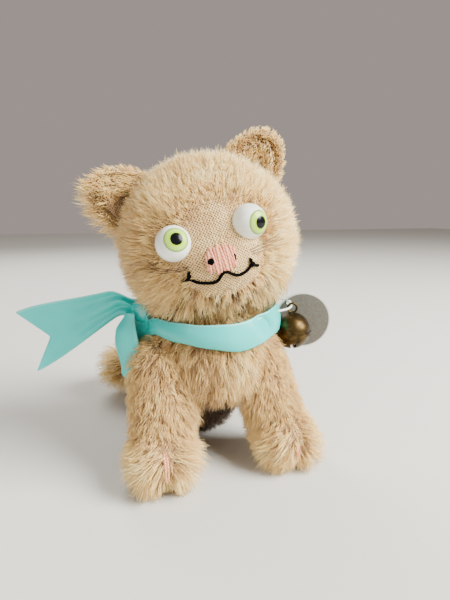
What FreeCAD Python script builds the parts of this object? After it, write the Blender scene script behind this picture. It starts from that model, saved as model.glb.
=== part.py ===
import FreeCAD, Part
import math
import os
from FreeCAD import Matrix, Placement, Rotation, Vector

# A small sitting mohair kitten: soft torso, two straight front legs, a curled tail, a head on a
# disc-and-cotter-pin neck joint, glass eyes, stitched face, satin neck ribbon, ball bell and card tag.
# Millimetres, +Z up, the kitten faces -Y. The origin is the middle of the flat seat it rests on.
# Left and right are the kitten's own: its left side is +X.

# ---- driving sizes ------------------------------------------------------------------------------
CLOTH = 1.0                      # wall of the plush cloth, backing and pile roots together
MOVING_GAP = 0.3                 # air between soft parts that turn past each other

RUMP_CENTRE = Vector(0, 0, 17)
RUMP_RADII = Vector(22, 21, 20)
CHEST_CENTRE = Vector(1.6, -29.3, 37)
CHEST_RADII = Vector(18.5, 17.5, 20)
WAIST_IN = 0.5                   # cone between rump and chest lies this far inside both

HEAD_RADII = Vector(24, 22.5, 22)
HEAD_YAW = -7.3                  # degrees, turned towards the kitten's right
HEAD_ROLL = 15.6                 # degrees, left side of the head carried higher
MUZZLE_SET_BACK, MUZZLE_DROP = 6.0, 5.5      # muzzle centre behind the face, below the head centre
MUZZLE_RADII = Vector(12.5, 8.6, 9.5)

NECK_LEAN = 6.0                  # degrees, neck axis leans to the kitten's right
NECK_TILT = 5.0                  # degrees, neck axis leans forward
NECK_SHIFT = Vector(0.43, -1.01, 0)  # joint off the chest centre, seen from above
NECK_SUNK = 4.52                 # joint plane below the top of the chest's egg
HEAD_FLAT = 2.5                  # how much of the head's egg the joint plane cuts off
NECK_DISC_RADIUS = 8.5
NECK_DISC_THICK = 1.6
WASHER_RADIUS = 3.5
WASHER_THICK = 0.6
PIN_RADIUS = 0.9
PIN_CLEARANCE = 0.08             # running fit of the pin in the head side of the joint
PIN_EYE_RADIUS = 1.8             # folded eye that keeps the pin from pulling through
EYE_OF_PIN_WIDTH = 0.8           # thickness of the eye, as a share of the pin's
PIN_ROOM = 0.6                   # filling stands this far off the pin's eye
PIN_CURL_RADIUS = 2.0            # tails of the pin, curled under the body disc

LEG_RADIUS_TOP = 9.6
LEG_RADIUS_ANKLE = 7.6
LEG_TOP_FORWARD, LEG_TOP_DROP = 4.7, 4.0     # shoulder ahead of and below the chest centre
SHOULDER_IN = 3.9                # shoulder centre inside the chest's side
ANKLE_BACK, ANKLE_UP = 1.0, 1.0  # end of the shin inside the paw
PAW_RADII = Vector(8.8, 10.5, 9.4)
PAW_Y = -41.8
PAW_FLAT = 0.8                   # depth of the flat sole
PAW_X = {"left": 22.8, "right": -17.6}

TAIL_RADIUS = 6.2
TAIL_CURL = 15.0                 # radius of the curl, to the middle of the tail
TAIL_SWEEP = 120.0               # degrees of curl, root to tip
TAIL_RISE = 7.0                  # degrees, tip carried higher than the root
TAIL_ROOT_IN = 5.0               # root inside the back of the rump
TAIL_LIFT = 3.6                  # lowest point of the tail's root above the seat
TAIL_BURIED = 8.0                # straight end sewn into the rump

EAR_ANGLE = 49.0                 # degrees from straight up to the ear's middle line
EAR_SUNK = 3.57                  # root of the ear below the head's surface
EAR_LENGTH = 15.2                # root to crown
EAR_HALF_WIDTH = 8.8
EAR_TAPER = 0.82                 # width halfway up, as a share of the width at the root
EAR_BACK_THICK = 1.6
EAR_LINING_THICK = 0.9

EYE_RADIUS = 4.75
FACE_SHIFT = -0.8                # eyes, nose and mouth sit a little to the kitten's right
EYE_ACROSS, EYE_UP = 10.2, 2.9
EYE_SUNK = 0.55                  # eye's centre behind the head's surface
IRIS_RADIUS = 3.15
PUPIL_RADIUS = 1.6
GLASS_COLOUR_DEPTH = 0.6         # depth of the coloured glass laid into the white ball
GAZE = {"right": (11.7, 17.1), "left": (28.1, -8.2)}     # degrees towards +X, degrees up
SHANK_WIRE = 0.35
SHANK_LENGTH = 3.4
SHANK_LOOP = 1.3
SHANK_IN_GLASS = 1.5
ANCHOR_THREAD = 0.3
THREAD_END = Vector(4.0, 18.0, -2.0)
CHANNEL_ROOM = 0.1               # filling stands this far off the shanks and threads

NOSE_WIDTH, NOSE_HEIGHT, NOSE_Z = 7.8, 6.6, -3.0
STITCH_PROUD = 0.7               # how far embroidery stands above the cloth
MOUTH_THREAD = 1.1
MOUTH_Z = -8.0
MOUTH_HALF = 8.6
MOUTH_PEAK, MOUTH_DIP, MOUTH_LIFT = 0.8, -1.7, 0.6       # middle, lows and ends off the mouth line
NOSTRIL_WIDTH, NOSTRIL_HEIGHT, NOSTRIL_BELOW = 1.1, 2.2, 0.2
WHISKER_RADIUS = 0.2
WHISKERS_PER_SIDE = 3
WHISKER_ACROSS, WHISKER_TOP, WHISKER_PITCH = 11.5, -3.0, 1.4
WHISKER_RUN = Vector(12.0, -1.5, 4.0)
WHISKER_FAN = 2.6                # each whisker ends this much lower than the one above
TOE_STITCH = 1.3
TOE_STITCH_BELOW, TOE_STITCH_ABOVE = 3.6, 4.9            # ends of the stitch off the paw's centre

COLLAR_HEIGHT = 8.6
COLLAR_IN, COLLAR_PROUD = 1.5, 1.7           # collar's faces inside and outside the chest's side
COLLAR_DROP = 5.9                # joint plane down to the middle of the collar
RIBBON_WIDTH = 20.0
RIBBON_THICK = 0.6
KNOT_RADII = Vector(4.2, 5.0, 5.0)
KNOT_LIFT = 3.1                  # knot above the middle of the collar
KNOT_ANGLE = 172.0               # degrees round the collar from +X, seen from above
KNOT_OUT = 0.35                  # knot's centre outside the collar, as a share of its width
FLARED_TAIL = 36.0               # length from the knot to the swallow-tail tips
FLARED_NOTCH = 8.0
FLARED_DROOP, FLARED_SWING = 13.5, 165.0     # degrees below level, and round from +X
HANGING_TAIL = 17.5
HANGING_SWING = -12.0
HANGING_WIDTH = 10.0             # ribbon curled lengthwise to half its width

BELL_RADIUS = 6.0
BELL_WALL = 0.5
BELL_SLOT = 1.1
BELL_OFF_COLLAR = -0.33          # bell's side outside the collar's, along X; the ribbon gives way to it
BELL_AHEAD = -4.89               # bell ahead of the neck joint, along Y
BELL_HANG = 5.08                 # top of the bell below the neck joint
BELL_ROOM = 0.5                  # air between the bell and the dent it makes in the ribbon
BELL_LIP = 0.5
SLOT_REACH = 0.72                # half length of a sound slot, as a share of the bell's radius
RING_RADIUS, RING_WIRE = 1.5, 0.35
PELLET_RADIUS = 1.6
TAG_RADIUS, TAG_THICK = 9.5, 0.9
TAG_HOLE_RADIUS, TAG_HOLE_IN = 0.9, 1.8
TAG_OFF_BELL = 1.6               # tag's middle plane behind the back of the bell
TAG_LEAN = 38.0                  # degrees, tag middle outward of straight below its hole
STRING_RADIUS = 0.35
STRING_SLACK = 0.05              # air between the string and what hangs on it
STRING_LEAVES, STRING_ENTERS = -32.0, 24.0   # degrees round the collar where the string leaves and ends
STRING_HEIGHT = 2.1              # above the middle of the collar
STRING_FRONT, STRING_BACK = 5.2, 4.6         # turns of the string ahead of the bell, behind the tag
HANG_DIRECTION = Vector(-0.31, -0.951, 0)                # string, bell axis and tag normal


# ---- frames -------------------------------------------------------------------------------------
def unit(v):
    return Vector(v).normalize()


NECK_AXIS = unit(Vector(-math.tan(math.radians(NECK_LEAN)), -math.tan(math.radians(NECK_TILT)), 1))
NECK_POINT = CHEST_CENTRE + NECK_SHIFT + Vector(0, 0, CHEST_RADII.z - NECK_SUNK)
HEAD_CENTRE = NECK_POINT + NECK_AXIS * (HEAD_RADII.z - HEAD_FLAT)
MUZZLE_CENTRE = Vector(0, MUZZLE_SET_BACK - HEAD_RADII.y, -MUZZLE_DROP)
HEAD_TURN = Rotation(Vector(0, 0, 1), HEAD_YAW) * Rotation(Vector(0, 1, 0), -HEAD_ROLL)
HEAD_FRAME = Placement(HEAD_CENTRE, HEAD_TURN)
NECK_FRAME = Placement(NECK_POINT, Rotation(Vector(0, 0, 1), NECK_AXIS))
HANG_DIRECTION = unit(HANG_DIRECTION)
HANG_SIDE = unit(HANG_DIRECTION.cross(Vector(0, 0, -1)))
PAW_Z = PAW_RADII.z - PAW_FLAT
SHOULDER_X = CHEST_RADII.x - SHOULDER_IN
LEGS = {"left": (SHOULDER_X, PAW_X["left"]), "right": (-SHOULDER_X, PAW_X["right"])}
COLLAR_INNER, COLLAR_OUTER = CHEST_RADII.x - COLLAR_IN, CHEST_RADII.x + COLLAR_PROUD


def face_depth(x, z):
    """Where the head's egg meets a line from the front, in the head's own frame."""
    return -HEAD_RADII.y * math.sqrt(1 - (x / HEAD_RADII.x) ** 2 - (z / HEAD_RADII.z) ** 2)


def placed(shape, frame):
    copy = shape.copy()
    copy.Placement = frame.multiply(copy.Placement)
    return copy


def ellipsoid(centre, radii, less=0.0):
    """Egg shape; less shrinks every radius by a wall."""
    scale = Matrix()
    scale.scale(radii.x - less, radii.y - less, radii.z - less)
    egg = Part.makeSphere(1.0)
    egg.rotate(Vector(0, 0, 0), Vector(0, 0, 1), 90)
    egg = egg.transformGeometry(scale)
    egg.translate(centre)
    return egg


def rod(start, end, radius):
    return Part.makeCylinder(radius, (end - start).Length, start, end - start)


def cone(start, end, radius_start, radius_end):
    return Part.makeCone(radius_start, radius_end, (end - start).Length, start, end - start)


def half_space(point, outward, size=200.0):
    """Big block on the outward side of a plane."""
    block = Part.makeBox(2 * size, 2 * size, size, Vector(-size, -size, 0))
    return placed(block, Placement(point, Rotation(Vector(0, 0, 1), outward)))


# ---- torso --------------------------------------------------------------------------------------
def torso_form(less=0.0):
    """Rump, waist and chest as one form, cut flat at the seat and at the neck joint."""
    rump = ellipsoid(RUMP_CENTRE, RUMP_RADII, less)
    chest = ellipsoid(CHEST_CENTRE, CHEST_RADII, less)
    waist = cone(RUMP_CENTRE, CHEST_CENTRE, min(RUMP_RADII.x, RUMP_RADII.y) - WAIST_IN - less,
                 min(CHEST_RADII.x, CHEST_RADII.y) - WAIST_IN - less)
    form = rump.fuse([waist, chest])
    form = form.cut(half_space(Vector(0, 0, less), Vector(0, 0, -1)))
    return form.cut(half_space(NECK_POINT - NECK_AXIS * (MOVING_GAP / 2 + less), NECK_AXIS))


def leg_form(side, less=0.0):
    top_x, paw_x = LEGS[side]
    top = Vector(top_x, CHEST_CENTRE.y - LEG_TOP_FORWARD, CHEST_CENTRE.z - LEG_TOP_DROP)
    ankle = Vector(paw_x, PAW_Y + ANKLE_BACK, PAW_Z + ANKLE_UP)
    shin = cone(top, ankle, LEG_RADIUS_TOP - less, LEG_RADIUS_ANKLE - less)
    shoulder = Part.makeSphere(LEG_RADIUS_TOP - less, top)
    paw = ellipsoid(Vector(paw_x, PAW_Y, PAW_Z), PAW_RADII, less)
    form = paw.fuse([shin, shoulder])
    return form.cut(half_space(Vector(0, 0, less), Vector(0, 0, -1)))


def tail_form(less=0.0):
    """Tail that leaves the rump backwards and curls round to the kitten's right side."""
    sweep = math.radians(TAIL_SWEEP)
    past_tip = Vector(-math.sin(sweep), math.cos(sweep), 0)
    ring = Part.makeTorus(TAIL_CURL, TAIL_RADIUS - less).cut([half_space(Vector(0, 0, 0), Vector(0, -1, 0)),
                                                              half_space(Vector(0, 0, 0), past_tip)])
    tip = Part.makeSphere(TAIL_RADIUS - less, Vector(math.cos(sweep), math.sin(sweep), 0) * TAIL_CURL)
    root = rod(Vector(TAIL_CURL, -TAIL_BURIED, 0), Vector(TAIL_CURL, 0, 0), TAIL_RADIUS - less)
    form = ring.fuse([tip, root])
    tail_root = Vector(0, RUMP_RADII.y - TAIL_ROOT_IN, TAIL_RADIUS + TAIL_LIFT)
    turn = Placement(tail_root, Rotation(Vector(0, 1, 0), TAIL_RISE))
    return placed(form, turn.multiply(Placement(Vector(-TAIL_CURL, 0, 0), Rotation())))


# ---- neck joint ---------------------------------------------------------------------------------
def neck_ring(low, high, outer, inner):
    """Washer or disc on the neck axis between two heights above the joint plane."""
    disc = Part.makeCylinder(outer, high - low, Vector(0, 0, low))
    hole = Part.makeCylinder(inner, high - low, Vector(0, 0, low))
    return placed(disc.cut(hole), NECK_FRAME)


HALF_GAP = MOVING_GAP / 2
DISC_TOP = HALF_GAP + CLOTH + NECK_DISC_THICK
WASHER_TOP = DISC_TOP + WASHER_THICK
HEAD_BORE = PIN_RADIUS + PIN_CLEARANCE


def cotter_pin():
    """Split pin: folded eye above the head washer, shank through the joint, tails curled below."""
    wire = PIN_RADIUS / 2
    eye_middle = WASHER_TOP + PIN_CLEARANCE + PIN_EYE_RADIUS
    shank = Part.makeCylinder(PIN_RADIUS, 2 * WASHER_TOP + PIN_CLEARANCE + wire, Vector(0, 0, -WASHER_TOP))
    eye_width = 2 * PIN_RADIUS * EYE_OF_PIN_WIDTH
    eye_start = Vector(0, eye_width / 2, eye_middle)
    eye = Part.makeCylinder(PIN_EYE_RADIUS, eye_width, eye_start, Vector(0, -1, 0))
    eye_hole = Part.makeCylinder(PIN_EYE_RADIUS - PIN_RADIUS, eye_width, eye_start, Vector(0, -1, 0))
    curl = PIN_CURL_RADIUS - wire
    below = Part.makeBox(20, 20, 20, Vector(-10, -10, -WASHER_TOP - 20))
    tails = [Part.makeTorus(curl, wire, Vector(side * (curl + wire * 0.6), 0, -WASHER_TOP - wire),
                            Vector(0, 1, 0)).common(below) for side in (-1, 1)]
    stub = Part.makeCylinder(PIN_RADIUS * 0.95, 3 * wire, Vector(0, 0, -WASHER_TOP - 2 * wire))
    pin = shank.fuse(eye).cut(eye_hole).fuse(stub)
    return placed(pin.fuse(tails[0]).fuse(tails[1]), NECK_FRAME)


# ---- head ---------------------------------------------------------------------------------------
def head_form(less=0.0):
    """Round head with its muzzle, cut flat over the neck joint; made where it sits."""
    form = ellipsoid(Vector(0, 0, 0), HEAD_RADII, less).fuse(ellipsoid(MUZZLE_CENTRE, MUZZLE_RADII, less))
    form = placed(form, HEAD_FRAME)
    return form.cut(half_space(NECK_POINT + NECK_AXIS * (HALF_GAP + less), NECK_AXIS * -1))


def eye_centre(side):
    mirror = 1 if side == "left" else -1
    across = mirror * EYE_ACROSS + FACE_SHIFT
    return Vector(across, face_depth(across, EYE_UP) + EYE_SUNK, EYE_UP)


def eye_parts(side):
    """White glass ball with iris and pupil laid in, and the wire shank melted into its back."""
    centre = eye_centre(side)
    yaw, pitch = (math.radians(a) for a in GAZE[side])
    gaze = Vector(math.sin(yaw) * math.cos(pitch), -math.cos(yaw) * math.cos(pitch), math.sin(pitch))
    ball = Part.makeSphere(EYE_RADIUS, centre)
    deep = Part.makeSphere(EYE_RADIUS - GLASS_COLOUR_DEPTH, centre)
    reach = 2 * EYE_RADIUS
    spread = reach / math.sqrt(EYE_RADIUS ** 2 - IRIS_RADIUS ** 2)
    iris_cone = cone(centre, centre + gaze * reach, 0.0, IRIS_RADIUS * spread)
    spread = reach / math.sqrt(EYE_RADIUS ** 2 - PUPIL_RADIUS ** 2)
    pupil_cone = cone(centre, centre + gaze * reach, 0.0, PUPIL_RADIUS * spread)
    crust = ball.cut(deep)
    pupil = crust.common(pupil_cone)
    iris = crust.common(iris_cone).cut(pupil_cone)
    white = ball.cut(crust.common(iris_cone))
    inward = unit(centre * -1)
    root = centre + inward * (EYE_RADIUS - SHANK_IN_GLASS)
    loop_centre = centre + inward * (EYE_RADIUS + SHANK_LENGTH)
    shank = rod(root, loop_centre - inward * SHANK_LOOP, SHANK_WIRE)
    loop = Part.makeTorus(SHANK_LOOP, SHANK_WIRE, loop_centre, Vector(0, 0, 1).cross(inward))
    wire = shank.fuse(loop)
    white = white.cut(wire)
    parts = {"eye_ball": white, "eye_iris": iris, "eye_pupil": pupil, "eye_shank": wire}
    return {name: placed(shape, HEAD_FRAME) for name, shape in parts.items()}


def thread_ends(side):
    """Waxed thread from the shank loop to the knot near the back of the head."""
    centre = eye_centre(side)
    inward = unit(centre * -1)
    start = centre + inward * (EYE_RADIUS + SHANK_LENGTH + SHANK_LOOP + SHANK_WIRE)
    return start, Vector(math.copysign(THREAD_END.x, centre.x), THREAD_END.y, THREAD_END.z)


def anchor_thread(side):
    return placed(rod(*thread_ends(side), ANCHOR_THREAD), HEAD_FRAME)


def eye_channels(side):
    """Room in the filling for one eye's shank, and a narrow one for its thread."""
    start, end = thread_ends(side)
    wide = rod(eye_centre(side), start, SHANK_LOOP + SHANK_WIRE + CHANNEL_ROOM)
    narrow = rod(start, end, ANCHOR_THREAD + CHANNEL_ROOM)
    return [placed(wide, HEAD_FRAME), placed(narrow, HEAD_FRAME)]


def joint_room():
    """Room in the head filling for the disc, the washer and the eye of the pin."""
    disc = Part.makeCylinder(NECK_DISC_RADIUS, NECK_DISC_THICK, Vector(0, 0, HALF_GAP + CLOTH))
    washer = Part.makeCylinder(WASHER_RADIUS, WASHER_THICK, Vector(0, 0, DISC_TOP))
    eye_room = Part.makeCylinder(PIN_EYE_RADIUS + PIN_ROOM, 2 * (PIN_EYE_RADIUS + PIN_ROOM), Vector(0, 0, WASHER_TOP))
    return placed(disc.fuse([washer, eye_room]), NECK_FRAME)


def ear_plate(side, low, high):
    """Rounded triangle of cloth standing on the head, between two depths front to back."""
    angle = math.radians(EAR_ANGLE)
    surface = 1 / math.hypot(math.sin(angle) / HEAD_RADII.x, math.cos(angle) / HEAD_RADII.z)
    base, half = surface - EAR_SUNK, EAR_HALF_WIDTH
    tip = base + EAR_LENGTH
    left_foot, right_foot = Vector(-half, 0, base), Vector(half, 0, base)
    left_side, right_side = Vector(-half * EAR_TAPER, 0, (base + tip) / 2), Vector(half * EAR_TAPER, 0, (base + tip) / 2)
    crown = Vector(0, 0, tip)
    edges = [Part.LineSegment(right_foot, left_foot).toShape(),
             Part.LineSegment(left_foot, left_side).toShape(),
             Part.Arc(left_side, crown, right_side).toShape(),
             Part.LineSegment(right_side, right_foot).toShape()]
    face = Part.Face(Part.Wire(edges))
    plate = face.extrude(Vector(0, high - low, 0))
    plate.translate(Vector(0, low, 0))
    lean = EAR_ANGLE if side == "left" else -EAR_ANGLE
    plate = placed(plate, Placement(Vector(0, 0, 0), Rotation(Vector(0, 1, 0), lean)))
    return placed(plate.cut(ellipsoid(Vector(0, 0, 0), HEAD_RADII)), HEAD_FRAME)


def proud_of_face(prism, height):
    """The part of a front-facing prism that lies just on the face cloth."""
    skin = ellipsoid(Vector(0, 0, 0), HEAD_RADII).fuse(ellipsoid(MUZZLE_CENTRE, MUZZLE_RADII))
    over = ellipsoid(Vector(0, 0, 0), HEAD_RADII, -height).fuse(ellipsoid(MUZZLE_CENTRE, MUZZLE_RADII, -height))
    return placed(prism.common(over).cut(skin), HEAD_FRAME)


def forward_prism(points):
    """Prism towards the face, its outline given across and up from the middle of the features."""
    middle = -HEAD_RADII.y / 2
    wire = Part.makePolygon([Vector(x + FACE_SHIFT, middle, z) for x, z in points + points[:1]])
    return Part.Face(wire).extrude(Vector(0, -HEAD_RADII.y, 0))


def nose_stitches():
    half, low, high = NOSE_WIDTH / 2, NOSE_Z - NOSE_HEIGHT / 2, NOSE_Z + NOSE_HEIGHT / 2
    outline = [(-half * 0.5, low), (half * 0.5, low), (half, NOSE_Z), (half * 0.8, high),
               (-half * 0.8, high), (-half, NOSE_Z)]
    return proud_of_face(forward_prism(outline), STITCH_PROUD)


def nostril_stitches():
    """One short dark stitch at each lower side of the nose."""
    low = NOSE_Z - NOSE_HEIGHT / 2 - NOSTRIL_BELOW
    high = low + NOSTRIL_HEIGHT
    pair = []
    for mirror in (-1, 1):
        inner, outer = mirror * NOSE_WIDTH / 2, mirror * (NOSE_WIDTH / 2 + NOSTRIL_WIDTH)
        outline = [(inner, low), (outer, low), (outer + mirror * NOSTRIL_BELOW, high), (inner + mirror * NOSTRIL_BELOW, high)]
        pair.append(proud_of_face(forward_prism(outline), STITCH_PROUD * 0.8))
    return Part.makeCompound(pair)


def thread_outline(points, width):
    """Flat band of one thread's width along a line of points."""
    bands = []
    for (x0, z0), (x1, z1) in zip(points, points[1:]):
        along = unit(Vector(x1 - x0, 0, z1 - z0))
        side = Vector(-along.z, 0, along.x) * (width / 2)
        start, end = Vector(x0, 0, z0) - along * (width * 0.3), Vector(x1, 0, z1) + along * (width * 0.3)
        corners = [start + side, end + side, end - side, start - side]
        bands.append(forward_prism([(c.x, c.z) for c in corners]))
    return bands[0].fuse(bands[1:]) if len(bands) > 1 else bands[0]


def mouth_stitches():
    """Wavy mouth with a forked end on each side, in one thick dark thread."""
    half, peak, dip, lift = MOUTH_HALF, MOUTH_PEAK, MOUTH_DIP, MOUTH_LIFT
    smile = [(-half, MOUTH_Z + lift), (-half * 0.45, MOUTH_Z + dip), (0, MOUTH_Z + peak),
             (half * 0.45, MOUTH_Z + dip), (half, MOUTH_Z + lift)]
    bands = [thread_outline(smile, MOUTH_THREAD)]
    for mirror in (-1, 1):
        joint = (mirror * half, MOUTH_Z + lift)
        bands.append(thread_outline([joint, (mirror * (half + 1.6), MOUTH_Z + lift + 1.8)], MOUTH_THREAD))
        bands.append(thread_outline([joint, (mirror * (half + 2.4), MOUTH_Z + lift - 0.9)], MOUTH_THREAD))
    return proud_of_face(bands[0].fuse(bands[1:]), STITCH_PROUD)


def whiskers(side):
    """Stiff thread whiskers sewn into the cheek."""
    mirror = 1 if side == "left" else -1
    bristles = []
    for number in range(WHISKERS_PER_SIDE):
        height = WHISKER_TOP - WHISKER_PITCH * number
        root = Vector(mirror * WHISKER_ACROSS, face_depth(WHISKER_ACROSS, height), height)
        run = Vector(mirror * WHISKER_RUN.x, WHISKER_RUN.y, WHISKER_RUN.z - WHISKER_FAN * number)
        bristles.append(rod(root, root + run, WHISKER_RADIUS))
    skin = ellipsoid(Vector(0, 0, 0), HEAD_RADII).fuse(ellipsoid(MUZZLE_CENTRE, MUZZLE_RADII))
    group = Part.makeCompound([bristle.cut(skin) for bristle in bristles])
    return placed(group, HEAD_FRAME)


# ---- ribbon -------------------------------------------------------------------------------------
def collar_point(degrees, radius, height=0.0):
    """Point round the collar, height above its middle along the neck axis."""
    angle = math.radians(degrees)
    local = Vector(radius * math.cos(angle), radius * math.sin(angle), height - COLLAR_DROP)
    return NECK_FRAME.multVec(local)


def collar():
    band = Part.makeCylinder(COLLAR_OUTER, COLLAR_HEIGHT, Vector(0, 0, -COLLAR_DROP - COLLAR_HEIGHT / 2))
    bore = Part.makeCylinder(COLLAR_INNER, COLLAR_HEIGHT, Vector(0, 0, -COLLAR_DROP - COLLAR_HEIGHT / 2))
    return placed(band.cut(bore), NECK_FRAME)


KNOT_CENTRE = collar_point(KNOT_ANGLE, COLLAR_OUTER + KNOT_RADII.x * KNOT_OUT, KNOT_LIFT)


def knot():
    return ellipsoid(KNOT_CENTRE, KNOT_RADII)


def ribbon_plate(outline, frame):
    wire = Part.makePolygon([Vector(x, 0, z) for x, z in outline + outline[:1]])
    plate = Part.Face(wire).extrude(Vector(0, RIBBON_THICK, 0))
    return placed(plate, frame)


def flared_tail():
    """Free end that stands away from the knot and opens to full width, with a swallow-tail cut."""
    half, gathered = RIBBON_WIDTH / 2, RIBBON_WIDTH * 0.18
    reach = FLARED_TAIL
    outline = [(0, -gathered), (reach * 0.35, -half * 0.62), (reach, -half), (reach - FLARED_NOTCH, 0),
               (reach, half), (reach * 0.35, half * 0.62), (0, gathered)]
    start = KNOT_CENTRE + Vector(-KNOT_RADII.x * 0.6, 0, 0.5)
    turn = Rotation(Vector(0, 0, 1), FLARED_SWING) * Rotation(Vector(0, 1, 0), FLARED_DROOP)
    return ribbon_plate(outline, Placement(start, turn))


def hanging_tail():
    """Free end that hangs from the knot, curled lengthwise, its outer edge plumb."""
    width, narrow = HANGING_WIDTH, HANGING_WIDTH * 0.35
    outline = [(0, 0), (-width * 0.8, -HANGING_TAIL * 0.15), (-width, -HANGING_TAIL * 0.4), (-width, -HANGING_TAIL),
               (narrow - width, -HANGING_TAIL), (0, -HANGING_TAIL * 0.4)]
    start = KNOT_CENTRE + Vector(1.0, -KNOT_RADII.y * 0.6, -KNOT_RADII.z * 0.3)
    turn = Rotation(Vector(0, 0, 1), HANGING_SWING)
    return ribbon_plate(outline, Placement(start, turn))


# ---- bell, string and tag -----------------------------------------------------------------------
BELL_CENTRE = NECK_POINT + Vector(COLLAR_OUTER + BELL_OFF_COLLAR + BELL_RADIUS, BELL_AHEAD, -BELL_HANG - BELL_RADIUS)
RING_INNER = RING_RADIUS - RING_WIRE
RING_CENTRE = BELL_CENTRE + Vector(0, 0, BELL_RADIUS + RING_RADIUS)
BELL_PIVOT = RING_CENTRE + Vector(0, 0, RING_INNER - STRING_RADIUS - STRING_SLACK)
TAG_PIVOT = BELL_PIVOT - HANG_DIRECTION * (BELL_RADIUS + TAG_OFF_BELL)
TAG_HOLE = TAG_PIVOT - Vector(0, 0, TAG_HOLE_RADIUS - STRING_RADIUS - STRING_SLACK)


def bell_half(sign):
    """Upper (+1) or lower (-1) half shell; the lower one laps over the upper one at the rim."""
    ball = Part.makeSphere(BELL_RADIUS, BELL_CENTRE)
    hollow = Part.makeSphere(BELL_RADIUS - BELL_WALL, BELL_CENTRE)
    other_side = half_space(BELL_CENTRE, Vector(0, 0, -sign))
    return ball.cut(hollow).cut(other_side)


def bell_lip():
    lip = Part.makeCylinder(BELL_RADIUS + BELL_LIP * 0.5, BELL_LIP * 2, BELL_CENTRE - Vector(0, 0, BELL_LIP * 2))
    return lip.cut(Part.makeSphere(BELL_RADIUS, BELL_CENTRE))


def bell_slot():
    """Cross slot with round ends in the lower half, which lets the sound out."""
    cuts = []
    reach = BELL_RADIUS * SLOT_REACH
    for along in (HANG_SIDE, HANG_DIRECTION):
        bar = Part.makeBox(2 * reach, BELL_SLOT, BELL_RADIUS, Vector(-reach, -BELL_SLOT / 2, -BELL_RADIUS - 1))
        bar = placed(bar, Placement(BELL_CENTRE, Rotation(Vector(1, 0, 0), along)))
        ends = [Part.makeCylinder(BELL_SLOT, BELL_RADIUS, BELL_CENTRE + along * (side * reach * 0.95)
                                  - Vector(0, 0, BELL_RADIUS + 1)) for side in (-1, 1)]
        cuts.append(bar.fuse(ends))
    return cuts[0].fuse(cuts[1])


def cord_tube(points, radius):
    """Tube along straight runs joined by tangent arcs, each arc as large as its two runs allow."""
    edges, here = [], points[0]
    for before, corner, after in zip(points, points[1:], points[2:]):
        back, on = unit(before - corner), unit(after - corner)
        half_turn = (math.pi - back.getAngle(on)) / 2
        reach = 0.45 * min((before - corner).Length, (after - corner).Length)
        bend = reach / math.tan(half_turn)
        middle = corner + unit(back + on) * (bend / math.cos(half_turn) - bend)
        start, end = corner + back * reach, corner + on * reach
        edges += [Part.LineSegment(here, start).toShape(), Part.Arc(start, middle, end).toShape()]
        here = end
        print("string bend radius", round(bend, 2))
    edges.append(Part.LineSegment(here, points[-1]).toShape())
    path = Part.Wire(edges)
    section = Part.Wire(Part.Circle(points[0], points[1] - points[0], radius).toShape())
    tube = path.makePipeShell([section], True, False)
    print("string length", round(path.Length, 2), "volume ratio",
          round(tube.Volume / (path.Length * math.pi * radius ** 2), 3))
    return tube


def string_route():
    """From the ribbon, through the bell ring and the tag hole, and back to the ribbon."""
    front = BELL_PIVOT + HANG_DIRECTION * STRING_FRONT
    back = TAG_PIVOT - HANG_DIRECTION * STRING_BACK
    leave = collar_point(STRING_LEAVES, COLLAR_OUTER, STRING_HEIGHT)
    enter = collar_point(STRING_ENTERS, COLLAR_OUTER, STRING_HEIGHT)
    return [leave, front, back, enter]


def swing_tag():
    middle = TAG_HOLE + (HANG_SIDE * math.sin(math.radians(TAG_LEAN))
                         - Vector(0, 0, math.cos(math.radians(TAG_LEAN)))) * (TAG_RADIUS - TAG_HOLE_IN)
    start = middle - HANG_DIRECTION * (TAG_THICK / 2)
    disc = Part.makeCylinder(TAG_RADIUS, TAG_THICK, start, HANG_DIRECTION)
    hole = Part.makeCylinder(TAG_HOLE_RADIUS, 4 * TAG_THICK, TAG_HOLE - HANG_DIRECTION * (2 * TAG_THICK),
                             HANG_DIRECTION)
    return disc.cut(hole)


def toe_stitch(side):
    """Long stitch over the front of a paw."""
    paw_x = LEGS[side][1]
    reach = 3 * PAW_RADII.y
    prism = Part.makeBox(TOE_STITCH, reach, TOE_STITCH_ABOVE + TOE_STITCH_BELOW,
                         Vector(paw_x - TOE_STITCH / 2, PAW_Y - reach, PAW_Z - TOE_STITCH_BELOW))
    over = ellipsoid(Vector(paw_x, PAW_Y, PAW_Z), PAW_RADII, -STITCH_PROUD)
    return prism.common(over).cut(leg_form(side))


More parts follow.
